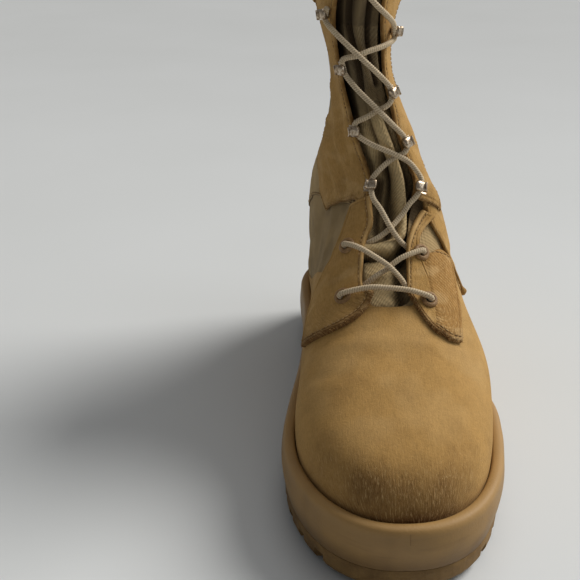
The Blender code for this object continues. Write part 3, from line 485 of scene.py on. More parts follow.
def make_mesh(name, points, faces, finish, slot, uv=None, tone=0.0, node=(), flat_angle=50):
    """A new piece from points in the boot's millimetres, riding on the boot."""
    uv = points[:, :2] if uv is None else uv
    mesh = bpy.data.meshes.new(name)
    mesh.from_pydata(((points - ORIGIN) * MM).tolist(), [], faces)
    corners = np.empty(len(mesh.loops), dtype=np.int32)
    mesh.loops.foreach_get("vertex_index", corners)
    layer = mesh.uv_layers.new(name="metric")
    layer.data.foreach_set("uv", (uv[corners] / UV_UNIT).ravel().astype(np.float32))
    shade = mesh.color_attributes.new(name="tone", type="FLOAT_COLOR", domain="POINT")
    full = np.ones((len(points), 4), dtype=np.float32)
    full[:, :3] = tone
    shade.data.foreach_set("color", full.ravel())
    mesh.materials.append(finish)
    mesh.shade_smooth()
    mesh.set_sharp_from_angle(angle=math.radians(flat_angle))
    piece = bpy.data.objects.new(name, mesh)
    bpy.context.collection.objects.link(piece)
    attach(piece, "root")
    if node:
        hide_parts(*node)
    return piece


def grid_faces(count, columns, start=0):
    index = start + np.arange(count * columns).reshape(count, columns)
    return np.stack([index[:-1, :-1], index[:-1, 1:], index[1:, 1:], index[1:, :-1]], -1).reshape(-1, 4)


def ring_faces(rings, count):
    """Faces between closed rings of points."""
    index = np.arange(rings * count).reshape(rings, count)
    after = np.roll(index, -1, axis=1)
    return np.stack([index[:-1], after[:-1], after[1:], index[1:]], -1).reshape(-1, 4)


def closed_faces(rings, count):
    """Faces between closed rings of points, and one over each end."""
    first = np.arange(count)
    last = first + (rings - 1) * count
    return ring_faces(rings, count).tolist() + [first[::-1].tolist(), last.tolist()]


def circle(count):
    return np.linspace(0.0, 2 * math.pi, count, endpoint=False)


def thick(name, outer, inner, faces, uv, tone, finish, slot, **more):
    """A closed piece between two sheets that share their faces."""
    outer, inner, uv, tone = (part.reshape(-1, part.shape[-1]) for part in (outer, inner, uv, tone))
    base = len(outer)
    edges = np.concatenate([np.stack([faces[:, k], faces[:, (k + 1) % 4]], -1) for k in range(4)])
    edges = edges[edges[:, 0] != edges[:, 1]]
    _, first, count = np.unique(np.sort(edges, axis=1), axis=0, return_index=True, return_counts=True)
    rim = edges[first[count == 1]]
    walls = np.stack([rim[:, 1], rim[:, 0], rim[:, 0] + base, rim[:, 1] + base], -1)
    every = np.concatenate([faces, faces[:, ::-1] + base, walls]).tolist()
    every = [list(dict.fromkeys(face)) for face in every]
    every = [face for face in every if len(face) > 2]
    points, uv, tone = (np.concatenate(part) for part in ((outer, inner), (uv, uv), (tone, tone)))
    return make_mesh(name, points, every, finish, slot, uv, tone, **more)


def tube_points(line, radius, count):
    """Rings of points around a line, without twist."""
    along = unit(np.gradient(line, axis=0))
    side = np.array([1.0, 0.0, 0.0])
    sides = np.empty_like(line)
    for k, direction in enumerate(along):
        side = unit(side - direction * (side @ direction))
        sides[k] = side
    beside = np.cross(along, sides)
    angles = circle(count)[None, :, None]
    around = np.cos(angles) * sides[:, None] + np.sin(angles) * beside[:, None]
    return line[:, None] + radius[..., None] * around


def build_tube(name, line, radius, count, finish, slot):
    """A thin closed tube along a line, with its own radius at each point."""
    points = tube_points(line, radius[:, None], count).reshape(-1, 3)
    faces = closed_faces(len(line), count)
    make_mesh(name, points, faces, finish, slot, tone=(0.35, 0.0, 0.5), flat_angle=180)


def ripple(points, scale, seed):
    """A smooth uneven value from about -1 to 1, the same each run."""
    rng = np.random.default_rng(seed)
    total = np.zeros(points.shape[:-1])
    for octave in range(3):
        for _ in range(4):
            wave = unit(rng.normal(size=3)) * 2 * math.pi / scale * 1.9 ** octave
            total += np.sin(points @ wave + rng.uniform(0, 6.28)) / (4 * 1.6 ** octave)
    return total


def spaced(count, crowd=0.6):
    """Shares from 0 to 1 that stand closer together at both ends."""
    share = np.linspace(0.0, 1.0, count)
    return (1 - crowd) * share + crowd * (0.5 - 0.5 * np.cos(share * math.pi))


def panel(name, rows, turns, low, high, finish, roll=1.2, groove=2.6, tone=None, swell=0.0, flip=False,
          soft_inside=False, **more):
    """A cut panel on the upper, with rounded edges and the stitches' groove along them."""
    base = surface(rows, turns)
    along, across = arc(base, 0), arc(base, 1)
    borders = np.stack([along, along[-1:] - along, across, across[:, -1:] - across])
    edge = borders.min(axis=0)
    shown = borders[[LOWER, UPPER, OUTER]].min(axis=0) if soft_inside else edge
    left = np.clip(1.0 - shown / roll, 0.0, 1.0)
    height = (high - low) * (0.45 + 0.55 * np.sqrt(1.0 - left ** 2))
    height = height - 0.35 * bell(shown - groove, 0.5) + 0.14 * ripple(base, 9.0, 5) * step(shown / 3)
    height = height + swell * step(edge / 9.0)
    if soft_inside:
        height = height - 0.9 * (1.0 - step(borders[INNER] / 4.0))
    _, outer, inner = raised(rows, turns, low + height, low)
    # Darker cut edges, and painted shade in the stitches' groove
    colour = tones(rows.shape, 0.75 * bell(shown, 0.8) + 0.25 * bell(shown - groove, 0.6))
    if tone is not None:
        colour = np.clip(colour + tone(base, borders), 0.0, 1.0)
    faces = grid_faces(*rows.shape)
    faces = faces if flip else faces[:, ::-1]
    piece = thick(name, outer, inner, faces, np.stack([across, along], -1), colour, finish, **more)
    return piece, outer, borders


def table_panel(name, table, side, size, low, high, finish, **more):
    """A panel from its short table, with the given numbers of points along and across it."""
    along, across = np.meshgrid(spaced(size[0]), spaced(size[1]), indexing="ij")
    values = hermite(np.array(table), along * (len(table) - 1))
    first, middle, last = values[..., 0:2], values[..., 2:4], values[..., 4:6]
    share = across[..., None]
    bend = (middle - 0.5 * (first + last)) * 4.0 * share * (1.0 - share)
    places = first + (last - first) * share + bend
    return panel(name, places[..., 0], side * places[..., 1], low, high, finish, flip=side == -1, **more)


def follow(made, *insets):
    """Lines on a panel's top that run at distances inside its borders."""
    _, top, borders = made
    lines = []
    for which, inset in insets:
        distances, points = borders[which], top
        if which in (LOWER, UPPER):
            distances, points = distances.T, points.transpose(1, 0, 2)
        if which in (UPPER, OUTER):
            distances, points = distances[:, ::-1], points[:, ::-1]
        lines.append(np.array([[np.interp(inset, distance, place[:, k]) for k in range(3)]
                               for distance, place in zip(distances, points)]))
    return lines


class Look:
    """A procedural material, with short calls that add its nodes."""

    def __init__(self, name, roughness, metallic=0.0, sheen=0.0, sheen_tint=(1, 1, 1, 1), specular=0.5):
        self.made = bpy.data.materials.new(name)
        self.made.use_nodes = True
        self.tree = self.made.node_tree
        self.shader = self.tree.nodes["Principled BSDF"]
        settings = {"Roughness": roughness, "Metallic": metallic, "Specular IOR Level": specular,
                    "Sheen Weight": sheen, "Sheen Roughness": 0.45, "Sheen Tint": sheen_tint}
        for socket, value in settings.items():
            self.shader.inputs[socket].default_value = value

    def add(self, kind, inputs=(), **settings):
        node = self.tree.nodes.new(kind)
        for key, value in settings.items():
            setattr(node, key, value)
        for socket, value in dict(inputs).items():
            if isinstance(value, bpy.types.NodeSocket):
                self.tree.links.new(value, node.inputs[socket])
            else:
                node.inputs[socket].default_value = value
        return node

    def metric(self, across, along, turn=0.0, place=(0.0, 0.0, 0.0)):
        """Surface coordinates in millimetres, stretched."""
        source = self.add("ShaderNodeUVMap", uv_map="metric").outputs["UV"]
        return self.add("ShaderNodeMapping", {
            "Vector": source, "Scale": (UV_UNIT * across, UV_UNIT * along, UV_UNIT), "Location": place,
            "Rotation": (0.0, 0.0, math.radians(turn))}).outputs["Vector"]

    def noise(self, place, detail, rough, distortion=0.0):
        return self.add("ShaderNodeTexNoise", {
            "Vector": place, "Scale": 1.0, "Detail": detail, "Roughness": rough,
            "Distortion": distortion}).outputs["Fac"]

    def cloud(self, scale, detail, rough):
        """Noise in the piece's own coordinates, with one scale or three."""
        source = self.add("ShaderNodeTexCoord").outputs["Object"]
        stretch = tuple(OBJECT_UNIT * share for share in np.broadcast_to(scale, 3).tolist())
        place = self.add("ShaderNodeMapping", {"Vector": source, "Scale": stretch}).outputs["Vector"]
        return self.noise(place, detail, rough)

    def waves(self, turn, scale):
        return self.add("ShaderNodeTexWave", {
            "Vector": self.metric(1.0, 1.0, turn), "Scale": scale, "Distortion": 0.4,
            "Detail": 1.0}, bands_direction="X").outputs["Fac"]

    def span(self, value, low, high, to_low=0.0, to_high=1.0):
        return self.add("ShaderNodeMapRange", {
            "Value": value, "From Min": low, "From Max": high, "To Min": to_low,
            "To Max": to_high}).outputs["Result"]

    def times(self, value, *factors):
        for factor in factors:
            value = self.add("ShaderNodeMath", {0: value, 1: factor}, operation="MULTIPLY").outputs[0]
        return value

    def plus(self, first, second):
        return self.add("ShaderNodeMath", {0: first, 1: second}, operation="ADD").outputs[0]

    def layers(self, colour, *layers):
        """A colour with others over it, each by its share."""
        for share, over in layers:
            colour = self.add("ShaderNodeMix", {0: share, 6: colour, 7: over}, data_type="RGBA").outputs[2]
        return colour

    def tone(self):
        """The piece's painted shares: dark (dirt and painted shade), light (wear and painted light) and
        rough.
        """
        source = self.add("ShaderNodeAttribute", attribute_name="tone").outputs["Color"]
        parts = self.add("ShaderNodeSeparateColor", {"Color": source}).outputs
        return parts["Red"], parts["Green"], parts["Blue"]

    def finish(self, colour, height, distance, roughness=None):
        bump = self.add("ShaderNodeBump", {"Height": height, "Strength": 1.0, "Distance": distance})
        self.tree.links.new(bump.outputs["Normal"], self.shader.inputs["Normal"])
        self.tree.links.new(colour, self.shader.inputs["Base Color"])
        if roughness is not None:
            self.tree.links.new(roughness, self.shader.inputs["Roughness"])
        return self.made


def shift(colour, factor):
    """The same colour, lighter or darker."""
    return tuple(min(value * factor, 1.0) for value in colour[:3]) + (1.0,)


def suede_look(name, base, rings=None):
    """Napped leather: fine streaks along the panel, cloudy patches, darker where the nap is rough.

    Rings of brushed nap, where it has them, stand around a point of the metric map.
    """
    look = Look(name, 0.92, sheen=0.35, sheen_tint=SUEDE_LIGHT, specular=0.2)
    shade, pale, rough = look.tone()
    streaks = look.noise(look.metric(1.5, 0.16), 5.0, 0.62, 0.6)
    hairs = look.noise(look.metric(1.5, 0.36), 4.0, 0.72, 0.8)
    clouds = look.cloud(0.05, 4.0, 0.6)
    blotches = look.cloud((0.22, 0.13, 0.2), 5.0, 0.65)
    grain = look.cloud(0.8, 4.0, 0.7)
    nap = look.span(streaks, 0.30, 0.70)
    colour = look.layers(
        base,
        (look.span(clouds, 0.35, 0.65), shift(base, 1.13)),
        (look.span(blotches, 0.42, 0.72, 0.0, 0.35), shift(base, 0.72)),
        (look.span(grain, 0.46, 0.30, 0.0, 0.55), shift(base, 0.72)),
        (look.span(grain, 0.54, 0.68, 0.0, 0.55), shift(base, 1.25)),
        (look.times(look.span(nap, 0.5, 0.0), look.span(rough, 0.0, 1.0, 0.10, 0.34)), SUEDE_DARK),
        (look.times(look.span(nap, 0.6, 1.0), look.span(rough, 0.0, 1.0, 0.08, 0.26)), SUEDE_LIGHT),
        (look.times(shade, 0.85), SUEDE_DARK),
        (look.times(pale, 0.75), SUEDE_LIGHT),
        (look.times(look.span(hairs, 0.53, 0.68), rough, 0.65), SUEDE_LIGHT),
        (look.times(look.span(hairs, 0.42, 0.34), rough, 0.75), SUEDE_DARK))
    height = look.plus(look.times(streaks, 0.5), look.times(hairs, 0.4))
    if rings:
        middle = look.metric(1.0, 1.0, 0.0, (-rings[0], -rings[1], 0.0))
        brushed = look.add("ShaderNodeTexWave", {
            "Vector": middle, "Scale": 0.17, "Distortion": 4.0, "Detail": 3.0,
            "Detail Scale": 0.4}, wave_type="RINGS", rings_direction="Z").outputs["Fac"]
        lines = look.times(look.span(brushed, 0.70, 0.97), look.span(hairs, 0.46, 0.60), 0.5)
        colour = look.layers(colour, (lines, SUEDE_LIGHT))
        height = look.plus(height, look.times(brushed, 0.2))
    height = look.times(height, look.span(rough, 0.0, 1.0, 0.4, 1.5))
    return look.finish(colour, look.plus(height, look.times(grain, 0.45)), 0.0005)


def cloth_look(name, base, dark, pitch, turn, depth):
    """Woven cloth, with two thread directions, darker in the weave's hollows."""
    look = Look(name, 0.85, sheen=0.25, sheen_tint=base, specular=0.25)
    shade, pale, _ = look.tone()
    warp = look.waves(turn, WAVE_LENGTH / pitch)
    weft = look.waves(turn + 90, WAVE_LENGTH / 2 / pitch)
    weave = look.plus(look.times(warp, 0.7), look.times(weft, 0.3))
    clouds = look.cloud(0.06, 4.0, 0.6)
    grain = look.noise(look.metric(2.2, 2.2), 2.0, 0.6)
    colour = look.layers(
        shift(base, 0.86),
        (look.span(clouds, 0.35, 0.68), shift(base, 1.10)),
        (look.times(look.span(weave, 0.55, 0.1), depth), dark),
        (look.times(look.span(grain, 0.62, 0.8), 0.2), shift(base, 1.3)),
        (shade, dark),
        (look.times(pale, 0.6), shift(base, 1.35)))
    return look.finish(colour, weave, 0.00035)


def rubber_look(name):
    look = Look(name, 0.55, specular=0.4)
    shade, pale, _ = look.tone()
    clouds = look.cloud(0.04, 5.0, 0.62)
    smears = look.noise(look.metric(0.03, 0.30), 4.0, 0.6, 0.5)
    scuffs = look.noise(look.metric(0.10, 1.4, 12), 3.0, 0.7, 1.0)
    grain = look.cloud(0.9, 2.0, 0.5)
    colour = look.layers(
        shift(RUBBER, 0.88),
        (look.span(clouds, 0.35, 0.68), shift(RUBBER, 1.08)),
        (look.span(smears, 0.55, 0.80, 0.0, 0.30), RUBBER_DARK),
        (look.span(scuffs, 0.66, 0.74, 0.0, 0.35), shift(RUBBER, 1.35)),
        (look.times(shade, 0.9), RUBBER_DARK),
        (look.times(pale, 0.7), shift(RUBBER, 1.28)))
    return look.finish(colour, grain, 0.00012, look.span(clouds, 0.3, 0.7, 0.48, 0.66))


def metal_look(name):
    look = Look(name, 0.32, metallic=1.0)
    stain = look.cloud(0.8, 4.0, 0.6)
    colour = look.layers(METAL, (look.span(stain, 0.40, 0.72), METAL_STAIN))
    return look.finish(colour, look.cloud(3.0, 2.0, 0.5), 0.00005, look.span(stain, 0.35, 0.7, 0.24, 0.48))


def cord_look(name):
    look = Look(name, 0.8, sheen=0.3, sheen_tint=CORD, specular=0.3)
    shade, _, _ = look.tone()
    fibres = look.noise(look.metric(1.4, 5.0, 35), 3.0, 0.6)
    colour = look.layers(
        CORD,
        (look.span(look.cloud(0.12, 3.0, 0.6), 0.35, 0.7), shift(CORD, 0.80)),
        (look.times(look.span(fibres, 0.6, 0.35), 0.35), CORD_DARK),
        (look.times(shade, 0.85), CORD_DARK))
    return look.finish(colour, fibres, 0.00015)


def plain_look(name, base, dark, roughness, scale):
    look = Look(name, roughness, specular=0.25)
    grain = look.cloud(2.0, 3.0, 0.6)
    colour = look.layers(base, (look.span(look.cloud(scale, 5.0, 0.6), 0.35, 0.7), dark),
                         (look.span(grain, 0.55, 0.75, 0.0, 0.4), shift(base, 1.3)))
    return look.finish(colour, grain, 0.0003)


def shell_sheet(rows, first, last, columns):
    """Both halves of a sheet around the boot, joined on the front line where they start there."""
    share = spaced(columns, 0.4)
    starts = np.stack([first[1], first[-1]])[..., None]
    turns = np.array([1, -1])[:, None, None] * (starts + (last[:, None] - starts) * share)
    count = len(rows) * columns
    joined = np.flatnonzero((first[1] == 0) & (first[-1] == 0)) * columns
    points = np.arange(2 * count)
    points[count + joined] = joined
    faces = [grid_faces(len(rows), columns)[:, ::-1], points[grid_faces(len(rows), columns, count)]]
    return np.broadcast_to(rows[:, None], turns.shape), turns, np.concatenate(faces)


def bottom_turn(row):
    """The turn where the upper ends on the cup's floor, and 1 where its section closes."""
    def under(turn):
        place = surface(row, turn)
        return place[..., 2] <= floor_height(place[..., 1]) + 0.3

    low, _ = bisect(np.full(row.shape, 0.5), np.ones(row.shape), under, 30)
    return np.where(under(1.0), low, 1.0)


def rim_row(turn):
    """The row at which the surface, followed up one turn, leaves the cup's rim."""
    def over(row):
        place = surface(row, turn)
        return place[..., 2] > rim_height(place[..., 1]) + 1.2

    return bisect(np.full(turn.shape, 6.0), np.full(turn.shape, 10.0), over, 30)[1]


def throat_gap(row, side):
    """Distance of the throat's edge from the front line: the laces pull the lateral one in."""
    starts, full, holds, ends = PULLED_ROWS
    pulled = step((row - starts) / (full - starts)) * step((ends - row) / (ends - holds))
    return THROAT_LATERAL - THROAT_PULL * pulled if side == 1 else THROAT_MEDIAL + 0.0 * row


def throat_turn(row, side):
    opening = np.clip((row - THROAT_ROW) / THROAT_OPENS, 0.0, 1.0)
    gap = throat_gap(row, side) * np.sqrt(1.0 - (1.0 - opening) ** 2)
    return np.abs(turn_at(row, side * gap)) * (row > THROAT_ROW)


def sheet_piece(name, rows, first, columns, outside, inside, tone, finish, **more):
    """A closed shell from a sheet around the boot, down to the cup's floor, between two heights."""
    rows, turns, faces = shell_sheet(rows, first, bottom_turn(rows), columns)
    base, outer, inner = raised(rows, turns, outside, inside)
    uv = np.stack([arc(outer, 2) * np.sign(turns.sum(axis=2, keepdims=True) + 1e-9), arc(outer, 1)], -1)
    thick(name, outer, inner, faces, uv, tone(base, rows, turns), finish, **more)


def toe_rows(last, spacing):
    near = [0.0, 0.008, 0.02, 0.04, 0.07, 0.11, 0.16, 0.22, 0.29, 0.37, 0.46, 0.56, 0.67, 0.8]
    return np.array(near + list(np.arange(0.9, last, spacing)) + [last])


def build_shell(cloth):
    """The hollow shell of cloth, with painted shade in the notch beside the lateral flap."""
    def tone(base, row, turn):
        heel = 0.17 * step((10.5 - row) / 4) * step((np.abs(turn) - 0.1) / 0.2)
        # Painted shade in the recess beside the lateral flap
        notch = 1.10 * np.exp(-((row - 6.22) / 0.46) ** 4 - ((turn - 0.108) / 0.042) ** 4)
        dark = 0.12 + heel + 0.20 * step((ripple(base, 30.0, 3) - 0.1) / 0.8) + notch
        light = 0.60 * step((0.30 - turn) / 0.06) * step((turn - 0.09) / 0.04) * step((6.4 - row) / 0.6)
        return tones(row.shape, dark, light)

    rows = toe_rows(TOP_ROW, 0.075)
    first = {side: throat_turn(rows, side) for side in (1, -1)}
    sheet_piece("shell", rows, first, 62, -0.7, -WALL, tone, cloth, node=["upper"],
                slot="nylon_and_suede_shell")


def build_vamp(suede):
    """The suede front, down to the sole all around, darker and rougher over the toe's front, with painted
    shade there and painted light over its top and lateral side.
    """
    def tone(base, row, turn):
        x, y, z = np.moveaxis(base, -1, 0)
        # The toe's front: rough, dirty nap and painted shade, fading towards both sides
        front = step((60.5 - z) / 12.0) * step((-97.0 - y) / 22.0)
        front = front * (1.0 - 0.85 * step((x - 12.0) / 24.0)) * (1.0 - 0.55 * step((-x - 20.0) / 22.0))
        uneven = ripple(base, 26.0, 11)
        front = np.clip(front * (1.0 + 0.35 * uneven), 0.0, 1.0)
        over_rim = np.maximum(z - rim_height(y), 0.0)
        # Painted shade, deepest low on the toe's front just over the rim
        foot = bell(x - 1.0, 15.0) * bell(over_rim, 7.0) * front
        # Painted shade under the flaps' lower edges
        painted_shade_under_flap = bell(row - 4.15, 0.25) * (np.abs(turn) < 0.2)
        # Painted shade over the toe's front and where the upper meets the rim, and random darker patches
        dark = 0.58 * front + 0.45 * foot + 0.28 * bell(over_rim, 1.6)
        dark = dark + 0.16 * step(uneven) + 0.30 * painted_shade_under_flap
        # Painted light over the toe's top and over its lateral side, patchy
        top = step((z - 52.0) / 14.0) * (1.0 - front)
        light = 0.22 * top * step(ripple(base, 40.0, 23) + 0.4) + 0.18 * step((x - 20.0) / 30.0) * top
        return tones(row.shape, dark, light, 0.12 + 0.88 * front)

    rows = toe_rows(8.9, 0.045)
    edge_rows, edge_turns = np.array(VAMP_EDGE).T
    edge = np.where(rows < edge_rows[0], 0.0, np.interp(rows, edge_rows, edge_turns))
    sheet_piece("vamp", rows, {1: edge, -1: edge}, 70, 0.0, -0.65, tone, suede, slot="suede")


def edge_tone(dirt, wear, rolled=0.0):
    """Dark and rough along the lower edge, with a little wear over the rest, and painted highlight and shade
    along a rolled inner edge.
    """
    def tone(base, borders):
        uneven = ripple(base, 14.0, 31)
        dark = dirt * bell(borders[LOWER], 3.8 + 1.5 * uneven) + 0.18 * step(uneven)
        inner = borders[INNER]
        # The rolled inner edge: painted highlight along the roll and painted shade in the crease beside it
        dark = dark - rolled * bell(inner - 0.6, 0.9) + 0.7 * rolled * bell(inner - 2.3, 0.45)
        light = wear * step(ripple(base, 18.0, 37) * 1.2) + rolled * bell(inner - 1.1, 0.9)
        return tones(dark.shape, dark, light, 0.35 + 0.65 * bell(borders[LOWER], 10.0))
    return tone


def build_facings(suede, patch, cloth):
    """The flaps, the side patch and the quarters, with the lines of their stitches and frayed edges."""
    flap_tone = edge_tone(0.9, 0.35, 0.6)
    made = table_panel("quarter_lateral", LATERAL_QUARTER, 1, (90, 90), -0.5, 0.5, suede, roll=0.7,
                       tone=edge_tone(0.1, 0.4), slot="suede")
    lines = follow(made, (INNER, 2.2), (OUTER, 2.2), (OUTER, 5.0))
    made = table_panel("quarter_medial", MEDIAL_QUARTER, -1, (90, 110), -0.6, 0.1, cloth, roll=0.5,
                       slot="nylon_and_suede_shell")
    lines += follow(made, (INNER, 2.0))
    made = table_panel("flap_lateral", LATERAL_FLAP, 1, (150, 60), 0.1, 2.3, suede, swell=-0.4,
                       tone=flap_tone, node=["flap_lateral"], slot="suede")
    lines += follow(made, (INNER, 2.6))
    frays = follow(made, (LOWER, 0.5))
    made = table_panel("patch_lateral", LATERAL_PATCH, 1, (120, 90), 0.6, 2.5, patch, swell=0.1,
                       tone=edge_tone(0.9, 0.5), soft_inside=True, slot="suede")
    lines += follow(made, (LOWER, 3.0), (UPPER, 2.4))
    frays += follow(made, (LOWER, 0.5), (LOWER, 0.9))
    made = table_panel("flap_medial", MEDIAL_FLAP, -1, (150, 130), 0.1, 2.6, suede, tone=flap_tone,
                       node=["flap_medial"], slot="suede")
    lines += follow(made, (INNER, 2.6), (LOWER, 3.0))
    frays += follow(made, (LOWER, 0.5), (LOWER, 0.9))
    return lines, frays


def build_strips(suede):
    """The stays beside the throat, the backstay and the collar, with the lines of their stitches."""
    lines = []
    along, across = np.meshgrid(spaced(150), spaced(40), indexing="ij")
    for word, side in SIDES.items():
        rising = 0.50 * step((across - 0.2) / 0.35) + 1.9 * np.maximum(across - 0.55, 0.0)
        start = STAY_START + (rising if side == -1 else 0.15 * across)
        rows = start + (TOP_ROW - start) * along
        limit = 0.93 * section(rows)[..., 4 if side == 1 else 5]
        gaps = np.minimum(throat_gap(rows, side) - STAY_OVERLAP + STAY_WIDTH * across, limit)
        made = panel("stay_" + word, rows, turn_at(rows, side * gaps), 0.4, 2.0, suede,
                     tone=edge_tone(0.2, 0.3), flip=side == -1, node=["stay_" + word], slot="suede")
        lines += follow(made, (INNER, 2.6), (OUTER, 2.6))
    along, across = np.meshgrid(spaced(130), 2 * spaced(56) - 1, indexing="ij")
    start = rim_row(1.0 + 0.27 * across)
    turns = 1.0 + (0.27 - 0.175 * step(along * 1.5)) * across
    made = panel("backstay", start + (BACKSTAY_TOP - start) * along, turns, 0.1, 1.9, suede,
                 tone=edge_tone(0.4, 0.3), node=["backstay"], slot="suede")
    lines += follow(made, (INNER, 2.4), (OUTER, 2.4), (OUTER, 4.4), (INNER, 4.4))
    along, across = np.meshgrid(spaced(26), 2 * spaced(150) - 1, indexing="ij")
    rows = COLLAR_START + (TOP_ROW - COLLAR_START) * along
    made = panel("collar", rows, 1.0 + COLLAR_REACH * across, -0.1, 2.2, suede, swell=0.7,
                 tone=edge_tone(0.3, 0.3), node=["collar"], slot="suede")
    return lines + follow(made, (LOWER, 2.2))


def build_seam(suede):
    """The rolled seam down the lateral side, with the knot that ends it."""
    row, turn = np.array(SEAM).T
    line, _ = smooth_line(raised(row, turn, 0.9)[1], 0.6)
    left = len(line) - np.arange(len(line))
    radius = (0.85 + 1.5 * bell(left - 4.5, 3.2)) * np.sqrt(np.clip(left / 2.5, 0.05, 1.0))
    build_tube("seam", line, radius, 14, suede, "suede")


def fold_distance(flat, route):
    """Distances of points from a fold's line, and how far along it they are."""
    row, gap = np.array(route).T
    line, _ = smooth_line(surface(row, turn_at(row, gap)), 1.0)
    away = np.stack([np.linalg.norm(flat - point, axis=-1) for point in line])
    return away.min(axis=0), away.argmin(axis=0)


def build_tongue(twill):
    """The padded tongue with its rolled fold, with painted shade in its hollows."""
    along, across = np.meshgrid(np.linspace(0.0, 1.0, 260), np.linspace(-1.0, 1.0, 90), indexing="ij")
    rows = TONGUE_START + (TOP_ROW - TONGUE_START) * along
    gaps = TONGUE_HALF_WIDTH * (1.0 - 0.25 * along) * across
    turns = turn_at(rows, gaps)
    flat = surface(rows, turns)
    height = np.full(rows.shape, -TONGUE_DEPTH)
    # Painted shade in the hollows beside the folds
    painted_hollow_shade = np.zeros(rows.shape)
    for route, half_width, lift in TONGUE_FOLDS:
        distance, passed = fold_distance(flat, route)
        if lift > ROLLED_FROM:
            begun = step(passed / 26.0)
            form = np.sqrt(np.clip(1.0 - (distance / half_width / 1.15) ** 2, 0.0, 1.0)) * begun
            foot = bell(distance - half_width * 1.35, 1.6) * begun
            height = height + lift * form - 1.6 * foot
            painted_hollow_shade = np.maximum(painted_hollow_shade * (1.0 - step(form * 1.6)), 0.8 * foot)
        else:
            height = height + lift * bell(distance, half_width)
            if lift < 0:
                painted_hollow_shade = np.maximum(painted_hollow_shade, bell(distance / half_width, 1.1))
    # Under the flaps' edges the tongue sinks and takes painted shade
    sunk_and_shaded_under_flaps = step((np.abs(gaps) - 10.5) / 3.0)
    # At its lower edge: a dip with a painted shadow
    lip = bell(rows - 3.99, 0.055)
    height = height - 1.2 * sunk_and_shaded_under_flaps - 0.8 * step((4.2 - rows) / 0.3) - lip
    # Painted shade in the hollows, under the flaps, along the lower edge and over the tongue's upper part
    dark = np.clip(0.85 * painted_hollow_shade + 0.5 * sunk_and_shaded_under_flaps + 0.74 * step((rows - 9.4) / 2.6) + 0.8 * lip, 0.0, 0.95)
    # Lighter where the tongue stands higher, a painted highlight on its folds, and below row 5.1
    light = (0.45 * step((height + 1.8) / 2.5) + 0.45 * step((5.1 - rows) / 0.3)) * (1.0 - painted_hollow_shade)
    _, outer, inner = raised(rows, turns, height, np.minimum(height - 1.5, -5.5))
    uv = np.stack([arc(flat, 1), arc(flat, 0)], -1)
    faces = grid_faces(*rows.shape)[:, ::-1]
    piece = thick("tongue", outer, inner, faces, uv, tones(rows.shape, dark, light), twill, node=["tongue"],
                  slot="tongue_fabric")


def rim_outline():
    """The closed outline of the upper where it meets the cup's rim."""
    def crosses(row):
        front, back = surface(row, 0.0), surface(row, 1.0)
        return front[2] >= rim_height(front[1]) and back[2] <= rim_height(back[1])

    def edge(side):
        def under(turn):
            place = surface(rows, side * turn)
            return place[..., 2] <= rim_height(place[..., 1])

        low, high = bisect(np.zeros(rows.shape), np.ones(rows.shape), under, 36)
        return surface(rows, side * (low + high) / 2)[:, :2]

    first = sum(bisect(0.0, 1.5, crosses, 40)) / 2
    last = sum(bisect(7.0, 12.0, lambda row: not crosses(row), 40)) / 2
    rows = first + (last - first) * (0.5 - 0.5 * np.cos(np.linspace(0.0, math.pi, 201)))
    return np.concatenate([edge(1), edge(-1)[-2:0:-1]])


def widened(loop, distance):
    ahead = np.roll(loop, -2, axis=0) - np.roll(loop, 2, axis=0)
    return loop + unit(np.stack([ahead[:, 1], -ahead[:, 0]], -1)) * distance


def even_loop(loop, count):
    """The loop with its points at even distances."""
    closed = np.concatenate([loop, loop[:1]])
    length = arc(closed, 0)
    places = np.linspace(0.0, length[-1], count, endpoint=False)
    return np.stack([np.interp(places, length, closed[:, k]) for k in range(2)], -1)


def midsole_profile():
    """Distance out of the upper's outline and height of the cup's rings, from the tread to its floor."""
    def wall(share):
        return lambda y: tread_top(y) + 0.3 + (rim_height(y) - tread_top(y) - 0.3) * share

    def rim(drop):
        return lambda y: rim_height(y) - drop * RIM_ROUND

    profile = [(-SOLE_TUCK - 0.2, wall(0.0)), (-SOLE_TUCK, wall(0.02)), (-0.55 * SOLE_TUCK, wall(0.12)),
               (0.1 * SOLE_BULGE, wall(0.26))]
    profile += [(SOLE_BULGE * (0.45 + 0.55 * math.sin(k / 7 * math.pi)), wall(0.34 + 0.46 * k / 7))
                for k in range(8)]
    profile += [(0.35 * SOLE_BULGE, rim(1.5)), (-0.1, rim(0.95)), (-0.5, rim(0.55)), (-1.2, rim(0.22)),
                (-2.2, rim(0.02)), (-3.2, rim(-0.04))]
    inside = [(1.5, rim(0.02)), (0.75, rim(0.25)), (0.25, rim(0.6)), (0.15, rim(1.2)), (CUP_GAP, rim(2.4)),
              (CUP_GAP, floor_height)]
    return [(RIM_WIDTH + out, height) for out, height in profile] + inside


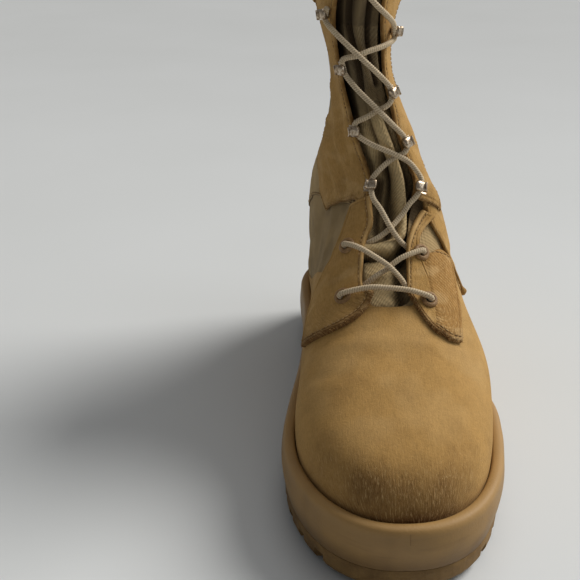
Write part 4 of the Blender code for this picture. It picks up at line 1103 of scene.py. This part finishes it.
def build_midsole(rubber):
    """The rubber cup: its smooth wall, the rounded rim and a fine mould line."""
    loop = even_loop(rim_outline(), 480)
    profile = midsole_profile()
    rings, shades = [], []
    for number, (out, height) in enumerate(profile):
        flat = widened(loop, out)
        ring = np.column_stack([flat, height(flat[:, 1])])
        bottom, top = tread_top(ring[:, 1]), rim_height(ring[:, 1])
        share = (ring[:, 2] - bottom) / (top - bottom)
        # Painted shade darkening the wall's lower half, with random darker patches
        dark = 0.60 * step((0.55 - share) / 0.55) + 0.25 * step(ripple(ring, 35.0, 41) * 0.8)
        # Painted shade in the gap inside the rim
        dark = dark + 0.40 * (number >= len(profile) - 2)
        # Painted highlight along the rim's top
        light = 0.8 * bell(share - 0.97, 0.10) * (number < len(profile) - 4)
        rings.append(ring)
        shades.append(tones(len(ring), dark, light))
    line, _ = smooth_line(np.array([ring[0] for ring in rings[9:14]]), 0.6)
    build_tube("mould_line", line, np.full(len(line), 0.12), 8, rubber, "sole_rubber")
    points = np.concatenate(rings)
    uv = np.column_stack([np.tile(arc(loop, 0), len(rings)), points[:, 2]])
    make_mesh("midsole", points, closed_faces(len(rings), len(loop)), rubber, "sole_rubber", uv,
              np.concatenate(shades), ["midsole"])


FIELD = np.meshgrid(np.linspace(0.1, 14.95, 150), np.linspace(-1.0, 0.99, 160), indexing="ij")
FIELD_POINTS = surface(*FIELD).reshape(-1, 3)
FIELD_NORMALS = normal_at(*FIELD).reshape(-1, 3)


def frames_along(line, spacing):
    """Even points on a line near the surface, its direction, and the direction out, square to it."""
    points, _ = smooth_line(line, spacing)
    along = unit(np.gradient(points, axis=0))
    nearest = [np.argmin(((FIELD_POINTS - point) ** 2).sum(axis=1)) for point in points]
    out = FIELD_NORMALS[nearest]
    return points, along, unit(out - along * (out * along).sum(axis=1, keepdims=True))


def build_stitches(lines, thread):
    """A rounded six-sided bead for each stitch, all in one mesh."""
    parts = zip(*(frames_along(line, STITCH_PITCH) for line in lines))
    places, along, out = (np.concatenate(part) for part in parts)
    places = places + out * 0.12
    beside = np.cross(along, out)
    rings = np.array([(-0.5, 0.35), (-0.36, 0.85), (0.0, 1.0), (0.36, 0.85), (0.5, 0.35)])
    length = np.repeat(rings[:, 0] * STITCH_LENGTH, 6)[:, None]
    radius = rings[:, 1:] * STITCH_RADIUS
    angles = circle(6)
    wide, high = (radius * np.cos(angles)).reshape(-1, 1), (radius * np.sin(angles)).reshape(-1, 1)
    points = places[:, None] + along[:, None] * length + beside[:, None] * wide + out[:, None] * high
    points = points.reshape(-1, 3)
    starts = np.arange(len(places)) * len(length)
    faces = (ring_faces(len(rings), 6)[None] + starts[:, None, None]).reshape(-1, 4).tolist()
    for start in starts.tolist():
        faces += [list(range(start + 5, start - 1, -1)), list(range(start + 24, start + 30))]
    dark = np.random.default_rng(7).uniform(0.0, 0.5, len(places))
    tone = tones(len(points), np.repeat(dark, len(length)))
    make_mesh("stitches", points, faces, thread, "suede", tone=tone, flat_angle=180)


def build_fray(lines, fibre):
    """Loose fibres along the raw lower edges of the flaps."""
    rng = np.random.default_rng(19)
    points, faces, shades = [], [], []
    for line in lines:
        places, alongs, outs = frames_along(line, FIBRE_PITCH)
        downs = np.cross(alongs, outs)
        downs = np.where((downs[:, 1] > 0)[:, None], -downs, downs)
        for place, along, out, down in zip(places, alongs, outs, downs):
            root = place + out * rng.uniform(-1.3, 0.1) + along * rng.uniform(-0.2, 0.2)
            aim = unit(down + along * rng.normal(0, 0.55) + out * rng.normal(0.05, 0.35))
            reach = rng.uniform(0.6, 2.2)
            bend = unit(rng.normal(size=3)) * 0.25
            wide = np.cross(aim, unit(rng.normal(size=3))) * 0.12
            middle = root + aim * reach * 0.55 + bend * 0.5
            tip = root + aim * reach + bend
            start = len(points)
            points += [root - wide, root + wide, middle + wide * 0.8, middle - wide * 0.8, tip]
            faces += [[start, start + 1, start + 2, start + 3], [start + 3, start + 2, start + 4]]
            shades += [(rng.uniform(0.1, 0.9), rng.uniform(0.0, 0.4), 0.0)] * 5
    make_mesh("fray", np.array(points), faces, fibre, "suede", tone=np.array(shades))


def frame_at(row, gap, height):
    """Place and directions there: away from the throat, up the boot and out."""
    turn = turn_at(row, gap)
    place = at_gap(row, gap, height)
    out = normal_at(row, turn)
    up = surface(row + 0.1, turn) - surface(row - 0.1, turn)
    up = unit(up - out * (up @ out))
    away = np.cross(up, out)
    away = away if away[0] * np.sign(gap) > 0 else -away
    return place, away, up, out


def turned(profile, count, place, away, up, out):
    """Rings of points around the direction out, and the faces between them."""
    angles = circle(count)[:, None]
    around = np.cos(angles) * away + np.sin(angles) * up
    points = np.concatenate([place + around * radius + out * height for radius, height in profile])
    return points, ring_faces(len(profile), count)[:, [0, 3, 2, 1]].tolist()


def build_eyelet(name, row, gap, metal, hollow):
    """A turned ring, darker inside, over a dark disc in its hole: painted shade in both."""
    there = frame_at(row, gap, 2.75)
    points, faces = turned(EYELET_PROFILE, 48, *there)
    # Painted shade on the ring's inner rings, down into the hole
    dark = 0.8 * (np.arange(len(points)) < 3 * 48)
    make_mesh("eyelet_" + name, points, faces, metal, "nickel", tone=tones(len(points), dark),
              node=["eyelet_" + name])
    # A dark disc standing in for the shade inside the hole
    disc, _ = turned(HOLE_PROFILE, 48, *there)
    make_mesh("hole_" + name, disc, [list(range(48))], hollow, "lace_cord")


def build_hook(name, row, gap, metal):
    """A speed hook: a bent strip, open away from the throat, flared at both ends like a spool."""
    place, away, up, out = frame_at(row, gap, 2.3)
    line, _ = smooth_line(np.array(HOOK_STRIP), 0.45)
    along = unit(np.gradient(line, axis=0))
    side = np.stack([along[:, 1], -along[:, 0]], -1)[:, None]
    widths = np.linspace(-HOOK_HALF_WIDTH, HOOK_HALF_WIDTH, 13)
    taper = np.where(line[:, 1] > 5.6, 1.0 - 0.10 * (line[:, 1] - 5.6), 1.0)
    flare = 0.75 * np.abs(widths / HOOK_HALF_WIDTH)[None, :, None] ** 3
    sheets = []
    for face in (1, -1):
        flat = line[:, None] - side * (face * HOOK_HALF_SHEET - flare)
        reach = flat[..., 0:1] - HOOK_LEAN * flat[..., 1:2]
        sheets.append(place + reach * away + flat[..., 1:2] * out + (widths * taper[:, None])[..., None] * up)
    faces = grid_faces(len(line), len(widths))
    faces = faces if gap > 0 else faces[:, ::-1]
    count = faces.max() + 1
    made = thick("hook_" + name, *sheets, faces, np.zeros((count, 2)), tones(count), metal,
                 node=["hook_" + name], slot="nickel", flat_angle=80)
    edges = made.modifiers.new("round", "BEVEL")
    edges.width = 0.22 * MM
    edges.segments = 2
    edges.limit_method = "ANGLE"
    points, faces = turned(RIVET_PROFILE, 32, place + away * 2.2, away, up, out)
    make_mesh("rivet_" + name, points, faces, metal, "nickel")


def build_lace(cord):
    """One braided cord through all eyelets and hooks."""
    tail = np.array(LACE_TAIL)
    tucked = at_gap(*tail.T[:3]) + tail[:, 3:] * np.array([0.0, 0.0, 1.0])
    centres, length = smooth_line(np.concatenate([at_gap(*np.array(LACE_ROUTE).T), tucked]), LACE_PITCH)
    angles = circle(20)
    phase = length[:, None] / BRAID_PITCH * math.pi
    braid = 0.8 * np.abs(np.sin(phase + angles)) + 0.2 * np.abs(np.sin(phase - angles))
    points = tube_points(centres, LACE_RADIUS * (0.75 + 0.27 * braid), len(angles))
    uv = np.stack(np.broadcast_arrays(angles * LACE_RADIUS, length[:, None]), -1)
    shade = tones(braid.shape, step((0.62 - braid) / 0.35))
    nodes = ["lace_bar"] + ["lace_cross_%d" % number for number in range(1, 6)]
    make_mesh("lace", points.reshape(-1, 3), closed_faces(*braid.shape), cord, "lace_cord", uv.reshape(-1, 2),
              shade.reshape(-1, 3), nodes, 180)


def dress_node(frame, node, finish):
    """Give a solid that stays its finish."""
    piece = frame["nodes"][node]
    piece.data.materials.clear()
    piece.data.materials.append(finish)


def build_lamp(name, kind, power, colour, place, direction, **settings):
    data = bpy.data.lights.new(name, kind)
    data.energy = power
    data.color = colour
    for key, value in settings.items():
        setattr(data, key, value)
    lamp = bpy.data.objects.new(name, data)
    bpy.context.collection.objects.link(lamp)
    lamp.location = place
    lamp.rotation_euler = Vector(direction).to_track_quat("-Z", "Y").to_euler()


def build_area(name, place, target, size, power, colour):
    """A round soft lamp that looks at a point."""
    direction = np.array(target) - np.array(place)
    build_lamp(name, "AREA", power, colour, place, direction, shape="DISK", size=size)


def build_stage():
    """Floor and lights."""
    floor = bpy.data.meshes.new("floor")
    floor.from_pydata([(-30, -30, 0), (30, -30, 0), (30, 30, 0), (-30, 30, 0)], [], [(0, 1, 2, 3)])
    look = Look("floor", 0.6, specular=0.3)
    colour = look.layers(FLOOR, (look.cloud(0.004, 2.0, 0.5), FLOOR_LIGHT))
    look.tree.links.new(colour, look.shader.inputs["Base Color"])
    floor.materials.append(look.made)
    piece = bpy.data.objects.new("floor", floor)
    bpy.context.collection.objects.link(piece)
    build_lamp("sun", "SUN", SUN_POWER, (1.0, 0.97, 0.93), (0, 0, 0), -np.array(SUN_FROM),
               angle=math.radians(SUN_SPREAD))
    build_area("overhead", (0.10, 0.15, 0.95), (0.0, -0.03, 0.05), 0.7, 1.2, (1.0, 0.98, 0.95))
    build_area("window", (0.80, -0.15, 0.40), (0.03, 0.0, 0.08), 0.5, 0.9, (0.90, 0.96, 1.0))
    world = bpy.data.worlds.new("studio")
    world.use_nodes = True
    background = world.node_tree.nodes["Background"].inputs
    background["Color"].default_value = WORLD_COLOUR
    background["Strength"].default_value = WORLD_LIGHT
    bpy.context.scene.world = world
    bpy.context.scene.view_settings.view_transform = "Standard"


def build_camera():
    """The photograph's view: its place, its angles and its focal length."""
    data = bpy.data.cameras.new("camera")
    data.sensor_width = SENSOR
    data.lens = FOCAL_PIXELS / FRAME_PIXELS * SENSOR
    camera = bpy.data.objects.new("camera", data)
    bpy.context.collection.objects.link(camera)
    camera.matrix_world = (Matrix.Translation((np.array(CAMERA_PLACE) - ORIGIN) * MM)
                           @ Matrix.Rotation(-math.radians(CAMERA_YAW), 4, "Z")
                           @ Matrix.Rotation(math.radians(90) - math.radians(CAMERA_PITCH), 4, "X")
                           @ Matrix.Rotation(-math.radians(CAMERA_ROLL), 4, "Z"))
    bpy.context.scene.camera = camera


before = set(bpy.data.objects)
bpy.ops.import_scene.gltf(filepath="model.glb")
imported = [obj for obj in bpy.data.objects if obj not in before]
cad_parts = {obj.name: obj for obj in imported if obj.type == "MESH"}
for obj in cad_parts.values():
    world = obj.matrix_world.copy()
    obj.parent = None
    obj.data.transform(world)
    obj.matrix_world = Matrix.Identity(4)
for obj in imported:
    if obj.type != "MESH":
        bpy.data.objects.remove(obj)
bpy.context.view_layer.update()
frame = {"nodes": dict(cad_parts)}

build_camera()
build_stage()
suede_finish = suede_look("suede", SUEDE)
patch_finish = suede_look("rough suede", PATCH, rings=(3.0, 16.0))
nylon_finish = cloth_look("nylon", NYLON, NYLON_DARK, 0.9, 0.0, 0.11)
twill_finish = cloth_look("twill", TWILL, TWILL_DARK, 1.3, 38.0, 0.24)
rubber_finish = rubber_look("rubber")
metal_finish = metal_look("nickel")
painted_finish = plain_look("painted metal", PAINT, PAINT_DARK, 0.42, 0.4)
cord_finish = cord_look("braided cord")
thread_finish = plain_look("thread", THREAD, SUEDE_DARK, 0.8, 0.5)
fibre_finish = suede_look("fibres", PATCH)
# Painted shade for the eyelets' holes
hole_shade_finish = plain_look("hollow", HOLE_SHADE, HOLE_SHADE_DARK, 0.95, 0.5)

build_shell(nylon_finish)
build_vamp(suede_finish)
facing_lines, fray_lines = build_facings(suede_finish, patch_finish, nylon_finish)
strip_lines = build_strips(suede_finish)
build_seam(suede_finish)
build_tongue(twill_finish)
build_midsole(rubber_finish)
build_stitches(facing_lines + strip_lines, thread_finish)
build_fray(fray_lines, fibre_finish)
for eyelet_name, (eyelet_row, eyelet_gap) in EYELETS.items():
    build_eyelet(eyelet_name, eyelet_row, eyelet_gap, painted_finish, hole_shade_finish)
for hook_name, (hook_row, hook_gap) in HOOKS.items():
    build_hook(hook_name, hook_row, hook_gap, metal_finish)
build_lace(cord_finish)
# The outsole in a darker copy of the cup's rubber: painted shade
dress_node(frame, "outsole", plain_look("tread rubber", TREAD_IN_SHADE, TREAD_IN_SHADE_DARK, 0.7, 0.06))
dress_node(frame, "insole", plain_look("footbed", FOOTBED, FOOTBED_DARK, 0.95, 0.08))
